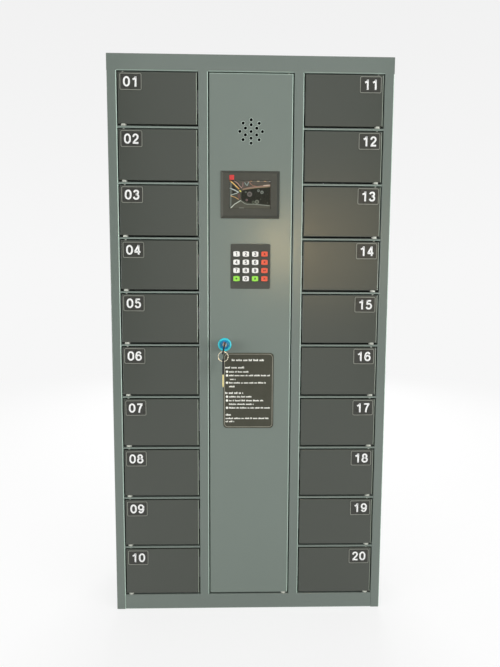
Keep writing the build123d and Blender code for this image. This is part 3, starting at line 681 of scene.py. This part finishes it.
def makePrint():
    sizes = printSizes
    chance = random.Random(4)
    low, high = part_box("instruction_plate")
    width, height = high.x - low.x, high.z - low.z
    deselectAll()
    bpy.ops.mesh.primitive_plane_add(size=0.001, location=(low.x, low.y, low.z), rotation=upright)
    words = nameIt("instructionPrint")
    settle(words)
    startEdit(words)
    bpy.ops.mesh.delete(type="VERT")
    for number, (kind, left, right, up) in enumerate(printLines):
        tall = sizes[kind]
        x, end = low.x + left * width, low.x + right * width
        z = low.z + up * height
        if number in bulletLines:
            bpy.ops.mesh.primitive_circle_add(
                vertices=16, radius=sizes["bullet"] / 2, fill_type="NGON",
                location=(low.x + sizes["bulletPlace"] * width, low.y, z), rotation=upright,
            )
        while x < end:
            for _ in range(chance.randint(*sizes["wordLengths"])):
                wide = tall * chance.uniform(*sizes["letterWidths"])
                rise = tall * chance.choice(sizes["letterHeights"])
                if x + wide > end:
                    break
                place = (x + wide / 2, low.y, z + (rise - tall) / 2)
                bpy.ops.mesh.primitive_plane_add(size=1, location=place, rotation=upright)
                bpy.ops.transform.resize(value=(wide * sizes["letterFill"], 1, rise), center_override=place)
                x += wide
            x += tall * sizes["wordGap"]
    endEdit()
    thicken(words, sizes["ink"])
    giveLooks(words, printInk)

    inset = 2 * sizes["border"]
    centre = frontOf("instruction_plate")
    border = roundedPlate("border", width - inset, height - inset, sizes["corner"], centre)
    startEdit(border)
    bpy.ops.mesh.inset(thickness=sizes["borderWidth"])
    bpy.ops.mesh.delete(type="FACE")
    endEdit()
    thicken(border, sizes["ink"])
    giveLooks(border, borderInk)
    piece = joinAll([words, border], "instructionPrint")
    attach(piece, "centre_door")


makePrint()
print("instruction plate done")


# film on the screen, stuck on with creases and bubbles that carry painted highlights, and its pull tab
# all in millimetres, and places from the lower left corner of the window

filmSizes = {"width": 70.0, "height": 47.0, "edge": 0.4, "step": 0.42, "clear": 0.18}
filmHem = {"width": 1.5, "start": 0.1}  # its rise comes in over this width, and is so far on at the edge
filmGround = tint(72, 73, 64)
filmAreas = [  # colour, how far its edge fades, corners
    (tint(88, 82, 74), 1.5, [(14, 47), (70, 47), (70, 40), (40, 40), (24, 34), (20, 38)]),
    (tint(85, 85, 75), 2.0, [(0, 0), (70, 0), (70, 7), (52, 7), (34, 8), (19, 13), (3, 2)]),
    (tint(110, 116, 108), 1.2, [(0.3, 2), (3.5, 5), (3.8, 44), (0.3, 46)]),
    (tint(30, 30, 27), 0.8, [(5, 30), (12.5, 27.3), (5.5, 24.6)]),
    (tint(34, 36, 33), 1.0, [(5, 40), (14.5, 29.5), (5, 34)]),
    (tint(30, 30, 26), 0.8, [(8.5, 45.5), (18.5, 34.6), (16.5, 35), (7.5, 44.5)]),
    (tint(150, 122, 108), 1.0, [(22, 33.2), (34, 36.4), (44, 37.6), (70, 40.4), (70, 36.8), (44, 34.6),
                                (31, 32.4), (22, 31.2)]),
    (tint(104, 78, 72), 1.4, [(14, 25), (17.5, 25), (18.5, 17), (14.5, 18)]),
    (tint(34, 36, 30), 0.7, [(20.2, 25.2), (21.8, 30), (25, 31.4), (44, 34.3), (69.4, 36.2), (69.4, 25),
                             (68.4, 16), (69.8, 11.5), (69, 6.8), (55, 7.6), (37, 8.8), (28.6, 10.9),
                             (21.6, 13.6), (19.8, 18.4)]),
]
filmCreases = [  # painted highlight colour, half width, rise, points
    (tint(232, 170, 92), 1.1, 0.7, [(0.6, 46.6), (6, 42.2), (11.5, 37.2), (15.8, 33.2)]),
    (tint(255, 226, 140), 0.5, 0.2, [(3, 44.8), (9, 39.6), (13.5, 35.2)]),
    (tint(250, 238, 120), 1.2, 0.5, [(17.6, 29.9), (19, 28.8)]),
    (tint(188, 150, 140), 0.8, 0.5, [(8, 46.4), (14, 42), (18, 37), (21, 34.6)]),
    (tint(168, 134, 130), 0.6, 0.4, [(23, 43.6), (22.4, 36.6)]),
    (tint(150, 166, 160), 0.8, 0.5, [(25.8, 43.6), (28.6, 39.4), (30.2, 38.8), (32.2, 44.2)]),
    (tint(164, 120, 100), 0.6, 0.4, [(33, 45.8), (36, 41.2), (39.4, 38.6), (46, 37.4)]),
    (tint(146, 136, 100), 0.5, 0.3, [(23, 32), (44, 34.8), (69.4, 37)]),
    (tint(214, 194, 172), 0.9, 0.3, [(58, 38.8), (69.6, 39.8)]),
    (tint(136, 136, 124), 0.5, 0.4, [(11, 46.4), (69.6, 45.8)]),
    (tint(244, 190, 140), 0.5, 0.4, [(35.2, 46.2), (38, 46)]),
    (tint(255, 232, 190), 0.6, 0.5, [(46.8, 46), (50.2, 45.8)]),
    (tint(252, 206, 156), 0.6, 0.5, [(58.6, 46), (61.6, 45.8)]),
    (tint(206, 208, 204), 0.6, 0.4, [(67.4, 45.8), (69.6, 45.6)]),
    (tint(214, 224, 220), 0.8, 0.7, [(1, 34), (8.2, 31.2), (15.2, 27.5)]),
    (tint(190, 202, 192), 0.7, 0.7, [(15.2, 27.5), (11.6, 25.4), (2.4, 22.6)]),
    (tint(206, 164, 108), 0.7, 0.6, [(2.4, 21.2), (9.8, 19), (12, 17.6), (15.4, 15.6)]),
    (tint(240, 202, 142), 0.5, 0.3, [(2.4, 21.4), (5, 20.4)]),
    (tint(198, 204, 190), 0.9, 0.7, [(2.4, 1.4), (9, 7.6), (18.8, 13.6)]),
    (tint(236, 240, 228), 0.6, 0.2, [(2.6, 1.6), (4.8, 3.6)]),
    (tint(158, 164, 150), 0.55, 0.5, [(18.8, 13.6), (26, 8.6), (30, 7.5), (41.4, 7.8), (55.5, 6.5),
                                      (69.6, 5.4)]),
    (tint(116, 110, 98), 0.5, 0.3, [(69.6, 44), (69.4, 24), (69.7, 1)]),
    (tint(124, 126, 116), 1.0, 0.2, [(17, 1.6), (24, 1.4)]),
    (tint(132, 140, 132), 0.5, 0.3, [(1, 19), (1.4, 3)]),
]
filmBubbles = [  # painted highlight colour of the rim, laid more faintly inside too, middle, radius
    (tint(112, 118, 108), (27.6, 27.7), 1.4), (tint(118, 112, 108), (34.1, 24.3), 3.9),
    (tint(120, 126, 118), (49.1, 30.3), 2.0), (tint(136, 142, 132), (55.1, 27.6), 2.5),
    (tint(132, 110, 108), (29.3, 14.6), 1.8), (tint(88, 94, 80), (40.6, 10.9), 2.4),
    (tint(122, 126, 112), (46.7, 11.6), 3.2), (tint(84, 88, 78), (52.8, 16.2), 0.9),
    (tint(90, 92, 84), (64.7, 10.1), 0.9),
]
filmShape = {
    "shades": (0.86, 1.14), "ground": 0.25, "ripple": 0.12,  # tones and rise of the plain film
    "flattened": 0.5,  # share of the rise that an area takes away
    "creaseFoot": 1.5, "creaseEdge": 1.25,  # reach of its rise and of its colour, in half widths
    "bubbleReach": 1.15, "bubbleFoot": 1.1, "bubbleRim": 0.8, "rimWidth": 0.35,  # in radii
    "bubbleTint": 0.4, "bubbleRise": 0.35,
}
filmTabSizes = {
    "low": (0.0, 47.6), "high": (7.9, 55.4), "corner": 0.8, "thickness": 0.3, "cuts": 5,
    "curl": 1.1, "curlOnLeft": 0.6,  # of its upper right corner, and the left one's share of that
}


def nearest(point, first, second):  # how far a point is from a run between two others
    run = second - first
    share = max(0.0, min(1.0, (point - first).dot(run) / run.length_squared))
    return (point - first - run * share).length


def edgeDistance(point, corners):  # more than nothing inside the outline
    inside = False
    reach = 1e9
    for first, second in zip(corners, corners[1:] + corners[:1]):
        reach = min(reach, nearest(point, Vector(first), Vector(second)))
        if (first[1] > point.y) != (second[1] > point.y):
            crossing = first[0] + (point.y - first[1]) / (second[1] - first[1]) * (second[0] - first[0])
            inside = inside != (point.x < crossing)
    return reach if inside else -reach


def fade(value):  # from 0 to 1, gently at both ends
    value = max(0.0, min(1.0, value))
    return value * value * (3 - 2 * value)


def filmAt(point, chance):  # colour and rise of the film at a place
    shape = filmShape
    colour = Vector(filmGround) * chance.uniform(*shape["shades"])
    rise = shape["ground"] + chance.uniform(0, shape["ripple"])
    for shade, soft, corners in filmAreas:
        share = fade(edgeDistance(point, corners) / soft + 0.5)
        colour = colour.lerp(Vector(shade), share)
        rise *= 1 - shape["flattened"] * share
    # creases and then bubbles lay their painted highlight colours over the film
    for shade, half, height, line in filmCreases:
        away = min(nearest(point, Vector(start), Vector(end)) for start, end in zip(line, line[1:])) / half
        colour = colour.lerp(Vector(shade), fade(shape["creaseEdge"] - away))
        rise = max(rise, height * fade(shape["creaseFoot"] - away))
    for shade, middle, radius in filmBubbles:
        away = (point - Vector(middle)).length / radius
        if away < shape["bubbleReach"]:
            rim = fade(1 - abs(away - shape["bubbleRim"]) / shape["rimWidth"])
            inner = shape["bubbleTint"]
            colour = colour.lerp(Vector(shade), inner + (1 - inner) * rim)
            rise += shape["bubbleRise"] * fade(shape["bubbleFoot"] - away)
    return colour, rise


def filmLook():
    look = Look("filmSheet", 0.2)
    look.set("Specular IOR Level", 0.08)
    colour = addNode(look.tree, "VertexColor", layer_name="filmTint").outputs["Color"]
    dots = noise(look.place, size=0.0009, detail=3.0)
    flecks = mapped(dots, fromLow=0.35, fromHigh=0.7, low=0.0, high=0.16)
    look.set("Base Color", mixColours(flecks, colour, (104, 106, 97)))
    look.roughen(0.14, 0.3, size=0.004)
    look.grain(size=0.0016, depth=0.00005)
    return look.material


def windowCorner():
    sizes = filmSizes
    corner = frontOf("screen_bezel") - Vector((sizes["width"], 0, sizes["height"])) / 2000
    corner.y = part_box("screen_panel")[0].y
    return corner


def makeFilm():
    sizes = filmSizes
    chance = random.Random(7)
    corner = windowCorner()
    centre = frontOf("screen_bezel")
    wide = sizes["width"] - 2 * sizes["edge"]
    tall = sizes["height"] - 2 * sizes["edge"]
    deselectAll()
    bpy.ops.mesh.primitive_grid_add(
        x_subdivisions=int(wide / sizes["step"]), y_subdivisions=int(tall / sizes["step"]), size=1,
        location=(centre.x, corner.y - sizes["clear"] / 1000, centre.z), rotation=upright,
    )
    film = nameIt("screenFilm")
    film.scale = (wide / 1000, tall / 1000, 1)
    settle(film)
    bpy.ops.geometry.color_attribute_add(name="filmTint", domain="POINT", data_type="FLOAT_COLOR")
    colours = film.data.color_attributes["filmTint"].data
    for vertex, spot in zip(film.data.vertices, colours):
        place = (vertex.co - corner) * 1000
        point = Vector((place.x, place.z))
        colour, rise = filmAt(point, chance)
        spot.color = colour
        border = min(point.x, point.y, sizes["width"] - point.x, sizes["height"] - point.y) - sizes["edge"]
        vertex.co.y -= rise / 1000 * fade(border / filmHem["width"] + filmHem["start"])
    giveLooks(film, filmLook())
    smooth(film, angle=60)
    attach(film, "centre_door")


def makeFilmTab():
    sizes = filmTabSizes
    corner = windowCorner()
    low, high = [corner + Vector((sizes[end][0], 0, sizes[end][1])) / 1000 for end in ("low", "high")]
    size = high - low
    middle = (low + high) / 2
    middle.y = frontOf("screen_bezel").y
    tab = roundedPlate("filmTab", size.x, size.z, sizes["corner"] / 1000, middle)
    startEdit(tab)
    bpy.ops.mesh.subdivide(number_cuts=sizes["cuts"])
    endEdit()
    onLeft = sizes["curlOnLeft"]
    for vertex in tab.data.vertices:  # it curls off towards its free end
        right = (vertex.co.x - low.x) / size.x
        up = (vertex.co.z - low.z) / size.z
        vertex.co.y -= sizes["curl"] / 1000 * up ** 2 * (onLeft + (1 - onLeft) * right)
    thicken(tab, sizes["thickness"] / 1000)
    giveLooks(tab, moulded("tabRed", (196, 30, 36), (208, 58, 58), (0.3, 0.42), 0.002, 0.00003))
    smooth(tab)
    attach(tab, "centre_door")


makeFilm()
makeFilmTab()
screenGlass = moulded("screenGlass", (34, 35, 34), (28, 29, 29), (0.08, 0.14), 0.004, 0.000005)
dress(screenGlass, "screen_panel")
print("screen film done")


# service lock: blue cap of two rings on a threaded barrel with its nut

lockSizes = {  # in millimetres
    "steps": 60, "bore": 5.95, "barrel": 9, "acrossFlats": 16, "behindFront": 0.2,
    "threadStart": 1.2, "threadDepth": 0.5, "threadPitch": 1.2,
    "nutAcross": 24, "nutPlaces": (-1, -5), "nutBevel": 0.7,
    "nutCorner": 1.15,  # radius to a corner, in halves of its width
    # radius and distance in front of the door, from the plug outwards
    "cap": [(5.95, 1.8), (6.2, 2.3), (6.8, 2.5), (7.3, 2.2), (7.6, 1.5), (8.1, 1.5), (8.5, 2.3), (9.2, 2.9),
            (10.1, 3), (11, 2.5), (11.6, 1.5), (11.75, 0.4), (11.65, 0)],
    "deepRing": 7.9,
}
capBlue = moulded("capBlue", (64, 226, 240), (44, 212, 230), (0.14, 0.22), 0.003, 0.00001)
capDeep = moulded("capDeep", (34, 160, 212), (26, 142, 198), (0.16, 0.24), 0.003, 0.00001)


# a closed outline of radius and distance in front, in millimetres, is spun round Y
def lathe(name, outline, centre, steps):
    deselectAll()
    bpy.ops.mesh.primitive_plane_add(size=0.001, location=(0, 0, 0))
    piece = nameIt(name)
    startEdit(piece, "VERT")
    bpy.ops.mesh.merge(type="CENTER")
    here = Vector(centre)
    spots = [here + Vector((radius, -out, 0)) / 1000 for radius, out in outline]
    bpy.ops.transform.translate(value=spots[0])
    for start, end in zip(spots, spots[1:] + spots[:1]):
        bpy.ops.mesh.extrude_region_move(TRANSFORM_OT_translate={"value": end - start})
    bpy.ops.mesh.select_all(action="SELECT")
    bpy.ops.mesh.spin(steps=steps, angle=math.radians(360), center=here, axis=(0, 1, 0))
    closeSurface()
    endEdit()
    return piece


def cutFlat(piece, point, outwards):  # takes off what lies beyond the plane and closes the cut
    startEdit(piece)
    bpy.ops.mesh.bisect(plane_co=point, plane_no=outwards, use_fill=True, clear_outer=True)
    endEdit()


def chooseFaces(test):  # in edit mode
    mesh = bmesh.from_edit_mesh(bpy.context.object.data)
    for face in mesh.faces:
        face.select_set(test(face))
    bmesh.update_edit_mesh(bpy.context.object.data)


def makeLock():
    sizes = lockSizes
    centre = jointPlace("lock_turn")
    length = (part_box("cam_lock_barrel")[1].y - centre.y) * 1000
    outer, inner = sizes["barrel"], sizes["barrel"] - sizes["threadDepth"]
    cap = lathe("lockCap", sizes["cap"] + [(outer, 0), (sizes["bore"], 0)], centre, sizes["steps"])
    giveLooks(cap, capBlue, capDeep, zincSteel)
    startEdit(cap)
    bpy.ops.mesh.select_all(action="DESELECT")

    def deepRing(face):
        out = face.calc_center_median() - centre
        return math.hypot(out.x, out.z) * 1000 < sizes["deepRing"]
    chooseFaces(deepRing)
    paintSelected(cap, 1)
    endEdit()

    outline = [(sizes["bore"], -sizes["behindFront"]), (outer, -sizes["behindFront"])]
    depth = sizes["threadStart"]
    while depth + sizes["threadPitch"] < length:
        outline += [(outer, -depth), (inner, -depth - sizes["threadPitch"] / 2)]
        depth += sizes["threadPitch"]
    outline += [(inner, -length), (sizes["bore"], -length)]
    barrel = lathe("barrel", outline, centre, sizes["steps"])
    for way in (-1, 1):
        up = Vector((0, 0, way))
        cutFlat(barrel, centre + up * sizes["acrossFlats"] / 2000, up)
    giveLooks(barrel, zincSteel)

    near, far = sizes["nutPlaces"]
    bevel = sizes["nutBevel"]
    across = sizes["nutAcross"] / 2
    corner = across * sizes["nutCorner"]
    outline = [(outer, near), (across, near), (corner, near - bevel), (corner, far + bevel), (across, far),
               (outer, far)]
    nut = lathe("nut", outline, centre, sizes["steps"])
    for side in range(6):
        angle = math.radians(360 / 6 * side)
        out = Vector((math.sin(angle), 0, math.cos(angle)))
        cutFlat(nut, centre + out * across / 1000, out)
    giveLooks(nut, zincSteel)
    lock = joinAll([cap, barrel, nut], "serviceLock")
    smooth(lock, angle=30)
    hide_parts("cam_lock_barrel")
    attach(lock, "centre_door")


makeLock()
print("service lock done")


# small turned pieces: outline of radius and height above what they sit on, in millimetres as the rest

smallSizes = {
    "rim": [(2.62, -0.05), (2.7, 0.1), (2.95, 0.14), (3.2, 0.08), (3.4, -0.05)],
    "rivet": [(0, -0.1), (3.2, -0.1), (3.1, 0.3), (2.5, 0.62), (1.3, 0.8), (0.9, 0.3), (0, 0.3)],
    "screw": [(0, -0.2), (2.8, -0.2), (2.8, 0.6), (2.3, 1.3), (1.4, 1.7), (1.1, 0.9), (0, 0.7)],
    "steps": 20,
    "speakerRings": [(0, 1), (11, 6), (19, 8)],  # radius and number of holes
    "rivetRows": (50, 174, 6),  # height of the lowest, pitch, number
    "rivetEnds": (160, 12),  # from the middle, from the ends of the panel
    "screwPlaces": ((38, 13), (46, -13)),  # from the lock's front and middle
}


def turnedPieces(kind, look, places, name, angle):
    master = lathe(kind, smallSizes[kind], (0, 0, 0), smallSizes["steps"])
    giveLooks(master, look)
    pieces = scatter(master, places, name)
    smooth(pieces, angle)
    return pieces


def makeRims():
    # the pale rim paint is a painted highlight on the edges of the holes
    paint = powderCoat("rimPaintedHighlight", (183, 198, 187), (172, 187, 176), (0.22, 0.3))
    centre = middleOf(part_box("speaker"))
    centre.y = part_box("centre_door")[0].y
    places = []
    for radius, count in smallSizes["speakerRings"]:
        for number in range(count):
            angle = math.radians(90 + 360 / count * number)
            places.append((centre + radius / 1000 * Vector((math.cos(angle), 0, math.sin(angle))), 0))
    rims = turnedPieces("rim", paint, places, "speakerRims", angle=60)
    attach(rims, "centre_door")


def makeRivets():
    paint = powderCoat("rivetPaint", (108, 118, 111), (103, 113, 105), (0.26, 0.34), peel=0.0006)
    low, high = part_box("back_panel")
    start, pitch, count = smallSizes["rivetRows"]
    aside, fromEnd = [reach / 1000 for reach in smallSizes["rivetEnds"]]
    places = []
    for node in ("left_partition", "right_partition"):
        x = middleOf(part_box(node)).x
        places += [((x, high.y, (start + pitch * number) / 1000), 180) for number in range(count)]
    places += [((x, high.y, z), 180) for x in (-aside, aside) for z in (low.z + fromEnd, high.z - fromEnd)]
    rivets = turnedPieces("rivet", paint, places, "backRivets", angle=50)
    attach(rivets, "cabinet")


def makeLockScrews():
    low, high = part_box("door_locks")
    places = []
    for side, x in ((-1, low.x), (1, high.x)):
        for door in doorNodes[:doorsInColumn]:
            z = middleOf(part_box(door)).z
            for deep, up in smallSizes["screwPlaces"]:
                places.append(((x, low.y + deep / 1000, z + up / 1000), 90 * side))
    screws = turnedPieces("screw", zincSteel, places, "lockScrews", angle=50)
    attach(screws, "cabinet")


makeRims()
makeRivets()
makeLockScrews()
print("rims, rivets and screws done")


# split ring of the keys: two turns of flat wire

ringSizes = {
    "turns": 1.92, "wire": 0.00125, "thickness": 0.00068, "lift": 0.00072, "steps": 96, "edge": 0.0002,
    "clear": 0.00003,  # inside the outline of the CAD ring
    "opening": 200,  # degrees to where the wire ends
}
ringNickel = plated("ringNickel", (250, 244, 222), (222, 214, 190), (0.18, 0.3), 0.002)


def makeRing():
    sizes = ringSizes
    low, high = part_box("key_ring")
    centre = middleOf((low, high))
    radius = (high.x - low.x) / 2 - sizes["wire"] / 2 - sizes["clear"]
    ring = uprightPlane("keyRing", sizes["wire"], sizes["thickness"], (radius, 0, 0))
    roundCorners(ring, sizes["edge"], segments=2)
    screw = ring.modifiers.new("turns", "SCREW")
    screw.axis = "Z"
    screw.angle = math.radians(360 * sizes["turns"])
    screw.screw_offset = sizes["lift"] * sizes["turns"]
    screw.steps = int(sizes["steps"] * sizes["turns"])
    applyModifiers(ring)
    startEdit(ring, "EDGE")
    bpy.ops.mesh.select_all(action="DESELECT")
    bpy.ops.mesh.select_non_manifold()
    bpy.ops.mesh.edge_face_add()
    closeSurface()
    endEdit()
    ring.location = centre + Vector((0, sizes["lift"] * sizes["turns"] / 2, 0))
    ring.rotation_euler = upright
    settle(ring)
    startEdit(ring)
    bpy.ops.transform.rotate(value=math.radians(sizes["opening"]), orient_axis="Y", center_override=centre)
    endEdit()
    giveLooks(ring, ringNickel)
    smooth(ring)
    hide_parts("key_ring")
    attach(ring, "key_ring")


makeRing()
print("key ring done")


# camera, light and floor

cameraPlace = {
    "location": (-0.0202165, -0.967651, 0.585760),
    "turn": (84.73216, -0.27985, -1.29773),  # degrees
    "lens": 36 * 500 / 667,  # millimetres: as long as the picture is wide on the sensor
    "near": 0.01,
}
bpy.ops.object.camera_add(
    location=cameraPlace["location"], rotation=[math.radians(angle) for angle in cameraPlace["turn"]]
)
camera = bpy.context.object
camera.data.lens = cameraPlace["lens"]
camera.data.clip_start = cameraPlace["near"]
scene.camera = camera

# name, place, what it is aimed at, width, height, watts, colour, what it shows on
softboxes = [
    ("rightBox", (2.2, -1.7, 0.2), (0.0, -0.1, 0.3), 1.6, 1.6, 50, (1.0, 1.0, 0.99), "both"),
    ("leftBox", (-2.2, -1.7, 0.15), (0.0, -0.1, 0.25), 1.6, 1.6, 47, (0.98, 1.0, 1.0), "both"),
    ("topBox", (0.1, -1.1, 2.1), (0.0, -0.05, 0.6), 1.4, 0.7, 3.5, (1.0, 1.0, 1.0), "both"),
    ("backBox", (0.2, 2.2, 1.2), (0.0, 0.1, 0.5), 1.6, 1.6, 35, (1.0, 1.0, 1.0), "matt"),
    ("warmBand", (0.47, -1.75, 0.79), (0.1, -0.1, 0.66), 0.42, 0.5, 1.0, (1.0, 0.7, 0.31), "shine"),
    ("warmCore", (0.175, -1.75, 0.786), (0.05, -0.1, 0.66), 0.08, 0.24, 1.5, (1.0, 0.72, 0.34), "shine"),
    ("edgeRight", (1.5, -0.85, 1.0), (0.0, -0.1, 0.7), 1.0, 2.2, 24, (0.88, 1.0, 0.95), "shine"),
]
for name, place, target, width, height, watts, colour, part in softboxes:
    aim = (Vector(target) - Vector(place)).to_track_quat("-Z", "Y").to_euler()
    bpy.ops.object.light_add(type="AREA", location=place, rotation=aim)
    lamp = bpy.context.object
    lamp.name = name
    lamp.data.shape = "RECTANGLE"
    lamp.data.size = width
    lamp.data.size_y = height
    lamp.data.energy = watts
    lamp.data.color = colour
    lamp.visible_diffuse = part != "shine"
    lamp.visible_glossy = part != "matt"
    lamp.visible_camera = False

# brightness of the background, of the light from all round and of the floor, and the floor's sizes
backdrop = {
    "horizon": 0.93, "above": 0.88, "fading": (0.05, 0.5),  # as upward parts of the direction
    "fill": 0.49, "floorGrey": 0.3, "nearShade": 0.2, "litGrey": 0.7, "near": 0.6, "far": 2.6, "radius": 30,
}
if not scene.world:
    scene.world = bpy.data.worlds.new("studio")
scene.world.use_nodes = True


def seenRay(tree):  # 1 for a ray from the camera, and for one that makes shine or goes through glass
    path = addNode(tree, "LightPath").outputs
    seen = path["Is Camera Ray"]
    for kind in ("Glossy", "Transmission"):
        seen = addNode(tree, "Math", {0: seen, 1: path[f"Is {kind} Ray"]}, operation="MAXIMUM").outputs[0]
    return seen


def makeSky():
    tree = scene.world.node_tree
    direction = addNode(tree, "TexCoord").outputs["Generated"]
    rise = addNode(tree, "SeparateXYZ", {0: direction}).outputs["Z"]
    wall = mapped(rise, *backdrop["fading"], backdrop["horizon"], backdrop["above"])
    strength = addNode(tree, "Mix", {0: seenRay(tree), 2: backdrop["fill"], 3: wall})
    fill(tree.nodes["Background"].inputs["Strength"], strength.outputs[0])
    fill(tree.nodes["Background"].inputs["Color"], (1, 1, 1, 1))


def makeFloor():
    deselectAll()
    bpy.ops.mesh.primitive_circle_add(
        vertices=128, radius=backdrop["radius"], fill_type="NGON", location=(0, 0, 0)
    )
    floor = nameIt("floor")
    look = newMaterial("floorPaper")
    tree = look.node_tree
    shader = tree.nodes["Principled BSDF"]
    fill(shader.inputs["Roughness"], 0.9)
    fill(shader.inputs["Specular IOR Level"], 0.0)
    place = addNode(tree, "TexCoord").outputs["Object"]
    away = addNode(tree, "VectorMath", {0: place}, operation="LENGTH").outputs["Value"]
    far = mapped(away, backdrop["near"], backdrop["far"], 0.0, 1.0)
    grey = addNode(tree, "Mix", {0: far, 2: backdrop["floorGrey"], 3: 0.0}).outputs[0]
    edge = backdrop["horizon"]
    glow = addNode(tree, "Mix", {0: far, 2: edge - backdrop["nearShade"], 3: edge}).outputs[0]
    fill(shader.inputs["Base Color"], grey)
    bright = addNode(tree, "Emission", {"Strength": glow})
    both = addNode(tree, "AddShader", {0: shader.outputs[0], 1: bright.outputs[0]})
    plain = addNode(tree, "BsdfDiffuse", {"Color": (*[backdrop["litGrey"]] * 3, 1)})
    choice = addNode(tree, "MixShader", {0: seenRay(tree), 1: plain.outputs[0], 2: both.outputs[0]})
    fill(tree.nodes["Material Output"].inputs["Surface"], choice.outputs[0])
    giveLooks(floor, look)


# cards beside the camera, as in a studio, one black and one grey: only shine shows them

cards = [  # name, place, width, height, glow
    ("leftCard", (-1.04, -1.75, 1.0), 0.9, 2.0, 0.0),
    ("rightCard", (1.09, -1.75, 0.9), 0.9, 2.2, 0.3),
]


def makeCards():
    for name, place, width, height, glow in cards:
        card = uprightPlane(name, width, height, place)
        look = newMaterial(name)
        tree = look.node_tree
        glowing = addNode(tree, "Emission", {"Strength": glow})
        fill(tree.nodes["Material Output"].inputs["Surface"], glowing.outputs[0])
        giveLooks(card, look)
        for ray in ("camera", "diffuse", "shadow", "transmission"):
            setattr(card, f"visible_{ray}", False)


makeSky()
makeFloor()
makeCards()
scene.view_settings.view_transform = "Standard"
print("camera, light and floor done")
